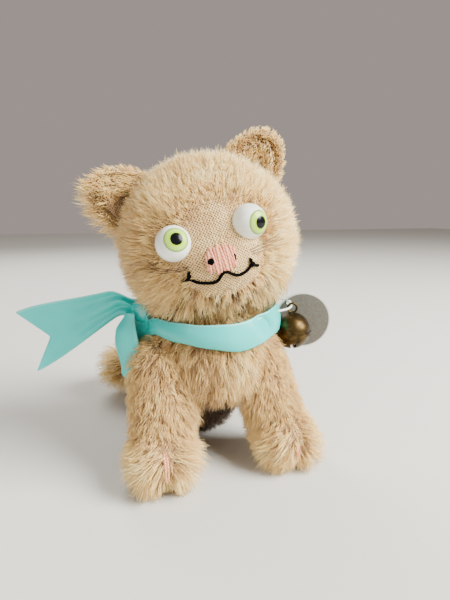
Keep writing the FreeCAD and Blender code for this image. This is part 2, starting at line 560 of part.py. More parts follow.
# ---- build --------------------------------------------------------------------------------------
def build():
    nodes = {}
    torso, torso_core = torso_form(), torso_form(CLOTH)
    head, head_core = head_form(), head_form(CLOTH)

    pin_hole_body = placed(Part.makeCylinder(PIN_RADIUS, WASHER_TOP + 1 + HALF_GAP, Vector(0, 0, -WASHER_TOP - 1)),
                           NECK_FRAME)
    pin_hole_head = placed(Part.makeCylinder(HEAD_BORE, WASHER_TOP + 1, Vector(0, 0, 0)), NECK_FRAME)
    pin = cotter_pin()
    body_disc = neck_ring(-DISC_TOP, -HALF_GAP - CLOTH, NECK_DISC_RADIUS, PIN_RADIUS)
    body_washer = neck_ring(-WASHER_TOP, -DISC_TOP, WASHER_RADIUS, PIN_RADIUS)
    head_disc = neck_ring(HALF_GAP + CLOTH, DISC_TOP, NECK_DISC_RADIUS, HEAD_BORE)
    head_washer = neck_ring(DISC_TOP, WASHER_TOP, WASHER_RADIUS, HEAD_BORE)

    nodes["body_cloth"] = torso.cut(torso_core).cut(pin_hole_body)
    nodes["body_filling"] = torso_core.cut([body_disc, body_washer, pin, pin_hole_body])
    nodes["neck_disc_body"] = body_disc
    nodes["neck_washer_body"] = body_washer
    nodes["neck_cotter_pin"] = pin

    legs = {}
    for side in LEGS:
        leg = leg_form(side).cut(torso)
        core = leg_form(side, CLOTH).cut(torso)
        legs[side] = leg
        nodes["front_leg_cloth_" + side] = leg.cut(core)
        nodes["front_leg_filling_" + side] = core
        nodes["toe_stitch_" + side] = toe_stitch(side).cut(torso)
    tail = tail_form().cut(torso)
    tail_core = tail_form(CLOTH).cut(torso)
    nodes["tail_cloth"] = tail.cut(tail_core)
    nodes["tail_filling"] = tail_core

    eyes = {side: eye_parts(side) for side in ("left", "right")}
    balls = [placed(Part.makeSphere(EYE_RADIUS, eye_centre(side)), HEAD_FRAME) for side in eyes]
    channels = eye_channels("left") + eye_channels("right")
    nodes["head_cloth"] = head.cut(head_core).cut(balls + [pin_hole_head])
    nodes["head_filling"] = head_core.cut(joint_room()).cut(balls).cut(channels)
    nodes["neck_disc_head"] = head_disc
    nodes["neck_washer_head"] = head_washer
    for side, pieces in eyes.items():
        for name, shape in pieces.items():
            nodes[name + "_" + side] = shape
    nodes["eye_anchor_threads"] = Part.makeCompound([anchor_thread(side) for side in eyes])
    for side in ("left", "right"):
        nodes["ear_back_" + side] = ear_plate(side, 0.0, EAR_BACK_THICK)
        nodes["ear_lining_" + side] = ear_plate(side, -EAR_LINING_THICK, 0.0)
        nodes["whiskers_" + side] = whiskers(side)
    nodes["nose_stitches"] = nose_stitches()
    nodes["nostril_stitches"] = nostril_stitches().cut(nodes["nose_stitches"])
    nodes["mouth_stitches"] = mouth_stitches().cut([nodes["nose_stitches"], nodes["nostril_stitches"]])

    bell_dent = Part.makeSphere(BELL_RADIUS + BELL_ROOM, BELL_CENTRE)
    band = collar().cut([torso, bell_dent] + list(legs.values()))
    tie = knot().cut([band, torso])
    flared = flared_tail().cut([tie, band, torso])
    hanging = hanging_tail().cut([tie, band, torso] + list(legs.values()))
    nodes["ribbon_collar"] = band
    nodes["ribbon_knot"] = tie
    nodes["ribbon_tail_flared"] = flared
    nodes["ribbon_tail_hanging"] = hanging.cut(flared)

    lip = bell_lip()
    slot = bell_slot()
    ring = Part.makeTorus(RING_RADIUS, RING_WIRE, RING_CENTRE, HANG_DIRECTION)
    nodes["bell_upper_shell"] = bell_half(1)
    nodes["bell_lower_shell"] = bell_half(-1).fuse(lip).cut(slot)
    nodes["bell_ring"] = ring.cut(Part.makeSphere(BELL_RADIUS, BELL_CENTRE))
    pellet_drop = BELL_RADIUS - BELL_WALL - PELLET_RADIUS
    nodes["bell_pellet"] = Part.makeSphere(PELLET_RADIUS, BELL_CENTRE - Vector(0, 0, pellet_drop - 0.1))
    nodes["tag_string"] = cord_tube(string_route(), STRING_RADIUS).cut(band)
    nodes["swing_tag"] = swing_tag()
    return nodes


os.makedirs("parts", exist_ok=True)
for name, shape in build().items():
    solids = shape.Solids
    whole = solids[0] if len(solids) == 1 else Part.makeCompound(solids)
    print(f"{name:24s} solids {len(solids)} volume {whole.Volume:9.2f} valid {whole.isValid()}")
    whole.exportStep("parts/" + name + ".step")
print("neck point", NECK_POINT, "neck axis", NECK_AXIS)
print("bell pivot", BELL_PIVOT, "tag pivot", TAG_PIVOT, "hang direction", HANG_DIRECTION)
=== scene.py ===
# %% [markdown]
# A small sitting mohair kitten. The frame holds its measured parts: cloth, filling, eyes, bell and card.
# This lesson gives them their looks. The frame is loaded first, because every piece is placed by it.

# %% Load the frame
import math

import bmesh
import bpy
import numpy as np
from mathutils import Matrix, Vector, kdtree
from mathutils.bvhtree import BVHTree


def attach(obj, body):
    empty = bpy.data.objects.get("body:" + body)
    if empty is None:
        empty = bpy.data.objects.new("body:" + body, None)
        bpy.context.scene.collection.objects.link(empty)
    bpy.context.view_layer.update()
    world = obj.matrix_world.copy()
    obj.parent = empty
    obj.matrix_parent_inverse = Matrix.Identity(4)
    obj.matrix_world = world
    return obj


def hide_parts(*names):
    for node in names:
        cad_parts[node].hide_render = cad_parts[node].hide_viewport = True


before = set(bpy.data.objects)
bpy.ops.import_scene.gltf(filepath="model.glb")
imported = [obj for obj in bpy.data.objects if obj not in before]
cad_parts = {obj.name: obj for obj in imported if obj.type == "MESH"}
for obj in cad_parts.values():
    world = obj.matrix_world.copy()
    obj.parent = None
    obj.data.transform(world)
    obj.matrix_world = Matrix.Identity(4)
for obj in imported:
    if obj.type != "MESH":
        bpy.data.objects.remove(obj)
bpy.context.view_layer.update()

MM = 0.001

# %% [markdown]
# The head is turned and tilted on its neck, so two places are useful again and again: the head's own
# axes, with the face towards -Y, and the neck's axes, with the ribbon round their upright line.

# %% Head and neck axes
NECK_POINT = Vector((2.03, -30.31, 52.48))
NECK_AXIS = Vector((-0.1041350, -0.0866819, 0.9907786))
HEAD_CENTRE = NECK_POINT + NECK_AXIS * 19.5
HEAD_RADII = Vector((24.0, 22.5, 22.0))
MUZZLE_CENTRE, MUZZLE_RADII = Vector((0, -16.5, -5.5)), Vector((12.5, 8.6, 9.5))
head_axes = (Matrix.Translation(HEAD_CENTRE) @ Matrix.Rotation(math.radians(-7.3), 4, "Z")
             @ Matrix.Rotation(math.radians(-15.6), 4, "Y"))
neck_axes = Matrix.Translation(NECK_POINT) @ Vector((0, 0, 1)).rotation_difference(NECK_AXIS).to_matrix().to_4x4()
COLLAR_DROP = 5.9
COLLAR_RADIUS = 20.2
KNOT_DEGREES = 172


def collar_point(degrees, radius, height):
    """A point of the neck's own circles: the ribbon's middle lies COLLAR_DROP below the joint."""
    angle = math.radians(degrees)
    return neck_axes @ Vector((radius * math.cos(angle), radius * math.sin(angle), height - COLLAR_DROP))


print("head centre", [round(number, 2) for number in HEAD_CENTRE])


# %% [markdown]
# The camera stands close in front and a little to the kitten's right, as someone bending down to a
# shelf would. A short lens at that distance makes the head look large over the paws.

# %% Camera
camera_data = bpy.data.cameras.new("camera")
camera_data.lens, camera_data.sensor_width = 26.4, 36.0
camera_data.clip_start = 0.01
camera = bpy.data.objects.new("camera", camera_data)
bpy.context.collection.objects.link(camera)
turn, dip = math.radians(18.0), math.radians(11.5)
looking = Vector((math.sin(turn) * math.cos(dip), math.cos(turn) * math.cos(dip), -math.sin(dip)))
camera.location = Vector((-36.2, -161.6, 80.0)) * MM
camera.rotation_euler = looking.to_track_quat("-Z", "Y").to_euler()
bpy.context.scene.camera = camera
print("camera lens", camera_data.lens, "at", [round(number, 4) for number in camera.location])

# %% [markdown]
# Shader maths is easier to read as sums than as boxes and wires. A Wire wraps one socket and turns
# Python's signs into Math nodes. A Finish is a material with one method that makes every other node.


# %% Wires and finishes
class Wire:
    """One output socket that can be used in sums."""

    def __init__(self, finish, socket):
        self.finish, self.socket = finish, socket

    def maths(self, operation, first, second=0.0):
        return self.finish.node("ShaderNodeMath", {"operation": operation}, {0: first, 1: second})

    def __add__(self, other):
        return self.maths("ADD", self, other)

    def __radd__(self, other):
        return self.maths("ADD", other, self)

    def __sub__(self, other):
        return self.maths("SUBTRACT", self, other)

    def __mul__(self, other):
        return self.maths("MULTIPLY", self, other)

    def __abs__(self):
        return self.maths("ABSOLUTE", self)

    def sine(self):
        return self.maths("SINE", self)

    def step(self, low, high):
        """0 below low, 1 above high, and smooth between them."""
        return self.finish.node("ShaderNodeMapRange", {"interpolation_type": "SMOOTHSTEP", "clamp": True},
                                {"Value": self, "From Min": low, "From Max": high})


def paint(red, green, blue):
    """A colour given as a colour chart gives it, from 0 to 255, as light."""
    shares = (channel / 255 for channel in (red, green, blue))
    return tuple(s / 12.92 if s <= 0.04 else ((s + 0.055) / 1.055) ** 2.4 for s in shares) + (1.0,)


class Finish:
    """A material and its nodes. Constant sockets are given as the finish is made."""

    def __init__(self, name, **sockets):
        self.material = bpy.data.materials.new(name)
        self.material.use_nodes = True
        self.tree = self.material.node_tree
        self.surface = self.tree.nodes["Principled BSDF"]
        for socket, value in sockets.items():
            self.surface.inputs[socket.replace("_", " ")].default_value = value

    def node(self, kind, settings=None, values=None, out=0):
        made = self.tree.nodes.new(kind)
        for setting, value in (settings or {}).items():
            if setting == "stops":
                ramp = made.color_ramp
                while len(ramp.elements) < len(value):
                    ramp.elements.new(0.5)
                for element, (place, colour) in zip(ramp.elements, value):
                    element.position, element.color = place, colour
            else:
                setattr(made, setting, value)
        for socket, value in (values or {}).items():
            if isinstance(value, Wire):
                self.tree.links.new(value.socket, made.inputs[socket])
            else:
                made.inputs[socket].default_value = value
        return Wire(self, made.outputs[out])

    def mix(self, factor, first, second):
        return self.node("ShaderNodeMix", {"data_type": "RGBA"}, {0: factor, 6: first, 7: second}, 2)

    def place(self):
        """Object coordinates, in metres."""
        return self.node("ShaderNodeTexCoord", {}, {}, "Object")

    def axes(self, vector):
        """The three numbers of a vector."""
        parts = self.tree.nodes.new("ShaderNodeSeparateXYZ")
        self.tree.links.new(vector.socket, parts.inputs[0])
        return [Wire(self, output) for output in parts.outputs]

    def noise(self, scale, detail=3.0):
        return self.node("ShaderNodeTexNoise", {}, {"Vector": self.place(), "Scale": scale, "Detail": detail})

    def bump(self, height, strength, distance):
        values = {"Height": height, "Strength": strength, "Distance": distance}
        self.feed(Normal=self.node("ShaderNodeBump", {}, values))

    def feed(self, **wires):
        for socket, wire in wires.items():
            self.tree.links.new(wire.socket, self.surface.inputs[socket.replace("_", " ")])


# %% [markdown]
# Pieces are made as a bmesh, then become an object whose mesh already lies in its place. One helper
# does that, and another says which body a piece moves with and which measured part it stands for.


# %% Piece helpers
def piece(name, bm, finish, scale=MM):
    """A bmesh in millimetres as an object in metres."""
    mesh = bpy.data.meshes.new(name)
    bmesh.ops.scale(bm, vec=(scale,) * 3, verts=bm.verts)
    for face in bm.faces:
        face.smooth = True
    bm.to_mesh(mesh)
    bm.free()
    made = bpy.data.objects.new(name, mesh)
    bpy.context.collection.objects.link(made)
    made.data.materials.append(finish.material)
    return made


def settle(made, body, slot, *nodes):
    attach(made, body)
    if nodes:
        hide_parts(*nodes)
    return made


def modifier(made, kind, **settings):
    added = made.modifiers.new(kind.title(), kind)
    for setting, value in settings.items():
        setattr(added, setting, value)
    return added


def bake_modifiers(made):
    """The mesh as its modifiers leave it."""
    graph = bpy.context.evaluated_depsgraph_get()
    mesh = bpy.data.meshes.new_from_object(made.evaluated_get(graph))
    made.modifiers.clear()
    old, made.data = made.data, mesh
    mesh.name = made.name
    bpy.data.meshes.remove(old)
    return made


# %% [markdown]
# The bell and the card hang on a short string that leaves the ribbon, passes through both and goes
# back into the ribbon. It is a real cord, so it is one smooth line of its real length.

# %% Cotton string
string_finish = Finish("cotton_string", Roughness=0.85, Sheen_Weight=0.3)
TWIST = 5200.0
twist_x, twist_y, twist_z = string_finish.axes(string_finish.place())
strands = ((twist_x + twist_y + twist_z * 1.6) * TWIST).sine() * 0.5 + 0.5
string_finish.feed(Base_Color=string_finish.mix(strands, paint(196, 196, 186), paint(240, 240, 232)))
string_finish.bump(strands, 0.6, 0.00008)

HANG = Vector((-0.3099224, -0.9507619, 0.0))
BELL_PIVOT, TAG_PIVOT = Vector((27.9, -35.2, 49.65)), Vector((30.2554, -27.9742, 49.65))
string_points = [collar_point(-32, COLLAR_RADIUS, 2.1), BELL_PIVOT + HANG * 5.2,
                 TAG_PIVOT - HANG * 4.6, collar_point(24, COLLAR_RADIUS, 2.1)]
string_curve = bpy.data.curves.new("tag_loop_string", "CURVE")
string_curve.dimensions = "3D"
string_curve.bevel_depth, string_curve.bevel_resolution, string_curve.use_fill_caps = 0.35 * MM, 3, True
line = string_curve.splines.new("NURBS")
line.points.add(len(string_points) - 1)
for knot, point in zip(line.points, string_points):
    knot.co = (*(point * MM), 1.0)
line.order_u, line.use_endpoint_u, line.resolution_u = 3, True, 16
string = bpy.data.objects.new("tag_loop_string", string_curve)
bpy.context.collection.objects.link(string)
string_curve.materials.append(string_finish.material)
settle(string, "torso", "string", "tag_string")
string_points[0] * MM
print("string points", [tuple(round(c, 2) for c in p) for p in string_points])

# %% [markdown]
# The toy's body is mohair plush: a woven cotton backing with pile tufts through it. The backing is
# what shows where the pile is shorn or worn: tan threads with a dark spot at the foot of each tuft,
# less than a millimetre apart. Two sine waves that cross give the rows of feet, and a little noise
# keeps them from being perfect. On the face the rows follow the head's tilt.


# %% Mohair backing
TUFT_PITCH = 0.82 * MM


def backing(name, turned, light, dark, spot):
    """Woven cloth between light and dark, with a spot at each tuft's foot."""
    finish = Finish(name, Roughness=0.92, Sheen_Weight=0.1, Sheen_Roughness=0.5)
    rows = finish.node("ShaderNodeMapping", {}, {"Vector": finish.place(), "Rotation": turned})
    wobble = finish.noise(900.0, 2.0)
    across, _, up = finish.axes(rows)
    waves = 2 * math.pi / TUFT_PITCH
    warp = (across * waves + wobble * 2.4).sine()
    weft = (up * waves + wobble * 2.4).sine()
    foot = (warp * weft).step(0.05, 0.42)
    patch = finish.noise(160.0, 3.0)
    cloth = finish.mix(patch.step(0.35, 0.7), light, dark)
    finish.feed(Base_Color=finish.mix(foot * 0.92, cloth, spot))
    finish.bump(warp * 0.5 + weft * 0.5 - foot, 0.7, 0.00015)
    return finish


head_turn = (0.0, math.radians(15.6), 0.0)
face_backing = backing("face_backing", head_turn, paint(232, 198, 140), paint(206, 168, 112), paint(72, 46, 22))
body_backing = backing("body_backing", (0, 0, 0), paint(196, 164, 120), paint(160, 126, 84), paint(104, 74, 44))

# %% [markdown]
# Each stuffed part starts as simple eggs and cones that overlap. A voxel remesh melts them into one
# skin, a short cloth simulation under pressure fills it as wood wool does, and the skin is smoothed.
# The simulation runs ten times larger than life, because cloth solvers lose their footing on things
# a few centimetres long. Flat places, such as the seat, are pressed flat afterwards.


# %% Stuffed skins
def egg(bm, centre, radii, axes=None):
    made = bmesh.ops.create_icosphere(bm, subdivisions=4, radius=1.0)["verts"]
    bmesh.ops.scale(bm, vec=radii, verts=made)
    bmesh.ops.translate(bm, vec=centre, verts=made)
    if axes:
        bmesh.ops.transform(bm, matrix=axes, verts=made)


def taper(bm, start, end, radius_start, radius_end):
    way = end - start
    place = Matrix.Translation((start + end) / 2) @ way.to_track_quat("Z", "Y").to_matrix().to_4x4()
    bmesh.ops.create_cone(bm, cap_ends=True, segments=40, radius1=radius_start, radius2=radius_end,
                          depth=way.length, matrix=place)


def stuffed(name, bm, finish, voxel, cap, presses):
    """Melt the shapes of bm into one skin, fill it by up to cap, and press it flat at each (point, normal)."""
    large = 10.0
    made = piece(name, bm, finish, MM * large)
    modifier(made, "REMESH", mode="VOXEL", voxel_size=voxel * MM * large, use_smooth_shade=True)
    modifier(made, "SMOOTH", factor=0.5, iterations=6)
    bake_modifiers(made)
    before = [v.co.copy() for v in made.data.vertices]
    cloth = modifier(made, "CLOTH")
    cloth.settings.use_pressure = True
    cloth.settings.uniform_pressure_force = 4.0
    cloth.settings.quality = 4
    cloth.settings.effector_weights.gravity = 0.0
    cloth.point_cache.frame_start, cloth.point_cache.frame_end = 1, 12
    for number in range(1, 13):
        bpy.context.scene.frame_set(number)
    bake_modifiers(made)
    bpy.context.scene.frame_set(1)
    for vertex, rest in zip(made.data.vertices, before):
        move = vertex.co - rest
        if move.length > cap * MM * large:
            vertex.co = rest + move.normalized() * cap * MM * large
    modifier(made, "SUBSURF", levels=1, render_levels=1)
    modifier(made, "SMOOTH", factor=0.5, iterations=2)
    bake_modifiers(made)
    for vertex in made.data.vertices:
        point = vertex.co / (MM * large)
        for origin, outward in presses:
            over = (point - origin).dot(outward)
            if over > 0:
                point = point - outward * over
        vertex.co = point * MM
    made.data.update()
    print(name, "faces", len(made.data.polygons))
    return made


# %% [markdown]
# The kitten sits on its rump and stands on its front legs, so the body is a low egg behind and a
# higher one in front, with a cone between them. It is pressed flat under the neck, where the joint's
# disc lies, and on the seat.

# %% Body
FLOOR_PRESS = (Vector((0, 0, 0.05)), Vector((0, 0, -1)))
RUMP, CHEST = Vector((0, 0, 17)), Vector((1.6, -29.3, 37))
body_bm = bmesh.new()
egg(body_bm, RUMP, (21.6, 20.6, 19.6))
egg(body_bm, CHEST, (18.1, 17.1, 19.6))
taper(body_bm, RUMP, CHEST, 20.1, 16.6)
body = stuffed("body_skin", body_bm, body_backing, 1.5, 0.5,
               [FLOOR_PRESS, (NECK_POINT - NECK_AXIS * 0.15, NECK_AXIS)])
settle(body, "torso", "mohair_plush", "body_cloth", "body_filling")

# %% [markdown]
# The head is nearly a ball, a touch wider than it is high, with a short muzzle low in front.

# %% Head
head_bm = bmesh.new()
egg(head_bm, (0, 0, 0), HEAD_RADII - Vector((0.4,) * 3), head_axes)
egg(head_bm, MUZZLE_CENTRE, MUZZLE_RADII, head_axes)
head = stuffed("head_skin", head_bm, face_backing, 1.4, 0.5, [(NECK_POINT + NECK_AXIS * 0.15, -NECK_AXIS)])
settle(head, "head", "mohair_plush", "head_cloth", "head_filling")

# %% [markdown]
# Each front leg is a cone from a ball at the shoulder to an egg laid along the floor, the paw. The
# paws stand wider apart than the shoulders.

# %% Front legs
PAW = {"left": Vector((22.8, -41.8, 8.6)), "right": Vector((-17.6, -41.8, 8.6))}
legs = {}
for side, mirror in (("left", 1), ("right", -1)):
    leg_bm = bmesh.new()
    shoulder = Vector((mirror * 14.6, -34.0, 33.0))
    egg(leg_bm, shoulder, (9.4, 9.4, 9.4))
    egg(leg_bm, PAW[side], (8.6, 10.3, 9.2))
    taper(leg_bm, PAW[side] + Vector((0, 1, 1)), shoulder, 7.4, 9.3)
    legs[side] = stuffed("front_leg_skin_" + side, leg_bm, body_backing, 1.3, 0.5, [FLOOR_PRESS])
    settle(legs[side], "torso", "mohair_plush", "front_leg_cloth_" + side, "front_leg_filling_" + side)

# %% [markdown]
# The tail curls round the rump on the kitten's right. It is a row of balls along an arc, tipped up a
# little towards its end, and the remesh melts the balls into one roll.

# %% Tail
TAIL_MIDDLE, TAIL_BEND, TAIL_THICK = Vector((-15, 16, 9.8)), 15, 6.0
tail_bm = bmesh.new()
tail_turn = (Matrix.Translation(TAIL_MIDDLE) @ Matrix.Translation((TAIL_BEND, 0, 0))
             @ Matrix.Rotation(math.radians(7), 4, "Y") @ Matrix.Translation((-TAIL_BEND, 0, 0)))
for number in range(13):
    bend = math.radians(number * 10)
    egg(tail_bm, (TAIL_BEND * math.cos(bend), TAIL_BEND * math.sin(bend), 0), (TAIL_THICK,) * 3, tail_turn)
egg(tail_bm, (TAIL_BEND, -4, 0), (TAIL_THICK, TAIL_THICK + 1, TAIL_THICK), tail_turn)
tail = stuffed("tail_skin", tail_bm, body_backing, 1.3, 0.4, [FLOOR_PRESS])
settle(tail, "torso", "mohair_plush", "tail_cloth", "tail_filling")

# %% [markdown]
# Pile is what makes plush look like plush, and it has to be real geometry: a bump can't make a
# fluffy outline. One tapered hair is cut from a cone, then repeated thousands of times over a skin.
# Each hair bends from standing up towards the way the pile is combed, neighbours lean together into
# locks, and every lock has a wave of its own. Numpy lays the copies out, because an operator per
# hair would take far too long.

# %% One hair
hair_bm = bmesh.new()
bmesh.ops.create_cone(hair_bm, cap_ends=True, segments=3, radius1=1.0, radius2=0.0, depth=1.0,
                      matrix=Matrix.Translation((0, 0, 0.5)))
bmesh.ops.remove_doubles(hair_bm, verts=hair_bm.verts, dist=1e-5)
for level in (0.36, 0.72):
    bmesh.ops.bisect_plane(hair_bm, geom=hair_bm.verts[:] + hair_bm.edges[:] + hair_bm.faces[:],
                           plane_co=(0, 0, level), plane_no=(0, 0, 1))
hair_bm.verts.index_update()
HAIR = np.array([v.co for v in hair_bm.verts])
HAIR_FACES = [[v.index for v in f.verts] for f in hair_bm.faces]
HAIR_TRIANGLES = sum(len(f) - 2 for f in HAIR_FACES)
hair_bm.free()
print("one hair: vertices", len(HAIR), "triangles", HAIR_TRIANGLES)

# %% [markdown]
# The pile's finish reads only the hair's own map: across it runs the tone of the lock, from brown
# gold to cream, and up it runs from the root to the tip. The roots are painted darker than the tips:
# that is painted shade deep in the coat.

# %% Mohair pile finish
pile_finish = Finish("mohair_pile", Roughness=0.62, Sheen_Weight=0.25, Sheen_Roughness=0.4, Specular_IOR_Level=0.3)
tone, height, _ = pile_finish.axes(pile_finish.node("ShaderNodeUVMap", {"uv_map": "OFBake"}))
coat_stops = [(0.0, paint(66, 44, 22)), (0.13, paint(134, 98, 58)), (0.32, paint(202, 162, 106)),
              (0.6, paint(244, 203, 128)), (0.85, paint(255, 223, 140)), (1.0, paint(255, 238, 186))]
coat = pile_finish.node("ShaderNodeValToRGB", {"stops": coat_stops}, {"Fac": tone})
# The dark root colours are painted shade, where the coat shades its own roots.
root = pile_finish.mix(tone.step(0.0, 0.7), paint(84, 54, 26), paint(212, 166, 100))
pile_finish.feed(Base_Color=pile_finish.mix(height.step(0.0, 0.32), root, coat))


# %% [markdown]
# Hairs need roots. A skin's triangles are picked at random, in proportion to their area and to a
# weight that each piece gives, and a root lands anywhere in the triangle picked. The seeds are fixed,
# so the coat is the same each time.


# %% Roots on a skin
def skin_roots(skin, count, weight, seed):
    """Random places on a skin, more where weight is high: points and outward directions in millimetres."""
    rng = np.random.default_rng(seed)
    mesh = skin.data
    mesh.calc_loop_triangles()
    corners = np.empty(len(mesh.loop_triangles) * 3, np.int32)
    mesh.loop_triangles.foreach_get("vertices", corners)
    corners = corners.reshape(-1, 3)
    points = np.empty(len(mesh.vertices) * 3)
    mesh.vertices.foreach_get("co", points)
    points = points.reshape(-1, 3) / MM
    normals = np.empty(len(mesh.vertices) * 3)
    mesh.vertex_normals.foreach_get("vector", normals)
    normals = normals.reshape(-1, 3)
    a, b, c = (points[corners[:, i]] for i in range(3))
    share = np.linalg.norm(np.cross(b - a, c - a), axis=1) * weight((a + b + c) / 3)
    pick = rng.choice(len(corners), count, p=share / share.sum())
    u, v = rng.random(count), rng.random(count)
    over = u + v > 1
    u[over], v[over] = 1 - u[over], 1 - v[over]
    mixed = np.stack([1 - u - v, u, v], 1)[:, :, None]
    return (points[corners[pick]] * mixed).sum(1), unit((normals[corners[pick]] * mixed).sum(1))


def unit(vectors):
    return vectors / np.maximum(np.linalg.norm(vectors, axis=-1, keepdims=True), 1e-9)


def smooth(values, low, high):
    share = np.clip((values - low) / (high - low), 0, 1)
    return share * share * (3 - 2 * share)


def along_skin(directions, normals):
    """The part of a direction that lies along the skin."""
    return directions - normals * (directions * normals).sum(1, keepdims=True)


def seen_from(axes, points, directions=False):
    """Points, or directions, in the axes that a matrix stands for."""
    inverse = np.array(axes.inverted())
    turned = points @ inverse[:3, :3].T
    return turned if directions else turned + inverse[:3, 3]


def neck_local(points):
    return seen_from(neck_axes, points)


# %% [markdown]
# The ribbon presses the coat flat. A point of a hair that would come out through the ribbon is drawn
# in towards the neck's line until it lies just under it.


# %% Pile under the ribbon
NECK_FORWARD = np.array(neck_axes)
UNDER_RIBBON = 18.8


def ribbon_narrow(degrees):
    """1 where the ribbon is drawn together beside the knot, 0 where it is at its full width."""
    return smooth(degrees, 178, 200) * (1 - smooth(degrees, 226, 280))


def inside_ribbon(points, under):
    """Pile that grows under the ribbon is held down by it."""
    local = neck_local(points)
    out = np.hypot(local[..., 0], local[..., 1])
    narrow = ribbon_narrow(np.degrees(np.arctan2(local[..., 1], local[..., 0])) % 360)
    behind = (local[..., 2] > -10.4 + 4.0 * narrow) & (local[..., 2] < -2.0 + narrow)
    held = under & behind & (out > UNDER_RIBBON)
    shrink = np.where(held, UNDER_RIBBON / np.maximum(out, 1e-6), 1.0)
    local[..., 0] *= shrink
    local[..., 1] *= shrink
    return local @ NECK_FORWARD[:3, :3].T + NECK_FORWARD[:3, 3]


# %% [markdown]
# One call lays the pile of one patch. A few roots lead their lock, and the others lean towards their
# leader more and more towards the tip. All hairs are placed level by level up the hair, then written
# into one mesh, with the map that the finish reads.


# %% Laying pile on a skin
def lay_pile(name, body_name, roots, outward, length, comb, tones, seed, width=0.15, clump=0.34, wave=0.07,
             hairs_per_lock=12, frizz=0.2, streak=0.07):
    """Hairs at the roots, in millimetres: comb is the lean along the skin, its size from 0 to 1."""
    rng = np.random.default_rng(seed)
    count = len(roots)
    locks = rng.choice(count, max(1, count // hairs_per_lock), replace=False)
    tree = kdtree.KDTree(len(locks))
    for number, which in enumerate(locks):
        tree.insert(roots[which], number)
    tree.balance()
    nearest = np.array([tree.find(p)[1] for p in roots])
    leader = locks[nearest]
    phase = rng.random(len(locks))[nearest] * 2 * math.pi
    lock_tone = rng.normal(0, 1, len(locks))[nearest] * streak
    lock_lean = rng.normal(0, 0.16, (len(locks), 3))[nearest]
    stand = unit(outward + rng.normal(0, frizz, (count, 3)))
    lean = comb + rng.normal(0, frizz, (count, 3)) * 0.6 + along_skin(lock_lean, outward)
    size = length * np.clip(rng.normal(1.0, 0.13, count), 0.6, 1.35)
    strength = np.linalg.norm(lean, axis=1, keepdims=True)
    sideways = unit(np.cross(outward, lean + 1e-6))
    under = np.hypot(*neck_local(roots)[:, :2].T) < 19.4

    def spine(t, start, up, way, pull, side):
        reach = size[:, None]
        bent = up * (t - 0.45 * pull * t * t) + way * (0.35 * t + 0.5 * t * t)
        swing = side * (wave * t * np.sin(2 * math.pi * 1.1 * t + phase))[:, None]
        return start + reach * (bent + swing)

    def place(t):
        own = spine(t, roots, stand, lean, strength, sideways)
        led = spine(t, roots[leader], outward[leader], comb[leader] + along_skin(lock_lean, outward),
                    strength[leader], sideways[leader])
        share = clump * t ** 1.3
        mixed = inside_ribbon(own * (1 - share) + led * share, under)
        mixed[:, 2] = np.maximum(mixed[:, 2], 0.15)
        return mixed

    levels = sorted(set(np.round(HAIR[:, 2], 4)))
    at = {t: place(t) for t in levels}
    axis = unit(at[levels[2]] - at[levels[0]])
    first = unit(np.cross(axis, unit(rng.normal(0, 1, (count, 3)))))
    second = np.cross(axis, first)
    thick = width / 2 * np.clip(rng.normal(1.0, 0.2, count), 0.6, 1.5)
    places = np.empty((count, len(HAIR), 3))
    for number, (x, y, t) in enumerate(HAIR):
        t = round(float(t), 4)
        fat = thick * (1 - 0.5 * t) / max(1 - t, 1e-3) if t < 1 else thick * 0
        places[:, number] = at[t] + (first * x + second * y) * fat[:, None]
    tone_of = np.clip(tones + lock_tone + rng.normal(0, 0.06, count), 0.01, 0.93)

    mesh = bpy.data.meshes.new(name)
    faces = np.concatenate([np.array(f) for f in HAIR_FACES])
    sizes = np.array([len(f) for f in HAIR_FACES])
    shift = np.arange(count)[:, None] * len(HAIR)
    loops = (faces[None, :] + shift).ravel()
    starts = (np.cumsum(sizes) - sizes)[None, :] + np.arange(count)[:, None] * len(faces)
    mesh.vertices.add(count * len(HAIR))
    mesh.vertices.foreach_set("co", (places * MM).astype(np.float32).ravel())
    mesh.loops.add(len(loops))
    mesh.loops.foreach_set("vertex_index", loops.astype(np.int32))
    mesh.polygons.add(count * len(sizes))
    mesh.polygons.foreach_set("loop_start", starts.astype(np.int32).ravel())
    mesh.update(calc_edges=True)
    mesh.polygons.foreach_set("use_smooth", np.ones(count * len(sizes), bool))
    map_layer = mesh.uv_layers.new(name="OFBake")
    across = tone_of[:, None] + (HAIR[faces, 0] * 0.004)[None, :]
    up = np.broadcast_to(HAIR[faces, 2] * 0.98 + 0.01, across.shape)
    map_layer.data.foreach_set("uv", np.stack([across, up], 2).astype(np.float32).ravel())
    made = bpy.data.objects.new(name, mesh)
    bpy.context.collection.objects.link(made)
    mesh.materials.append(pile_finish.material)
    settle(made, body_name, "mohair_plush")
    print(name, "hairs", count, "triangles", count * HAIR_TRIANGLES)
    return made


# %% [markdown]
# The middle of the face is shorn close, over the muzzle and up between the eyes, so that the backing's
# spots show through. An oval in the head's own axes says where, and pile keeps clear of the eyes.


# %% Where the face is shorn
EYES = {"left": Vector((9.4, -19.94, 2.9)), "right": Vector((-11.0, -19.23, 2.9))}


def head_local(points):
    return seen_from(head_axes, points)


def shorn(local):
    """0 in the shorn middle of the face, 1 in the long coat."""
    spread = np.hypot(local[:, 0] / 11.5, (local[:, 2] + 2.5) / 12.5)
    front = smooth(-local[:, 1], 6.0, 12.0)
    return 1 - (1 - smooth(spread, 0.8, 1.35)) * front


def eye_gap(local):
    """How far the nearer eye's centre is."""
    return np.minimum(*(np.linalg.norm(local - np.array(centre), axis=1) for centre in EYES.values()))


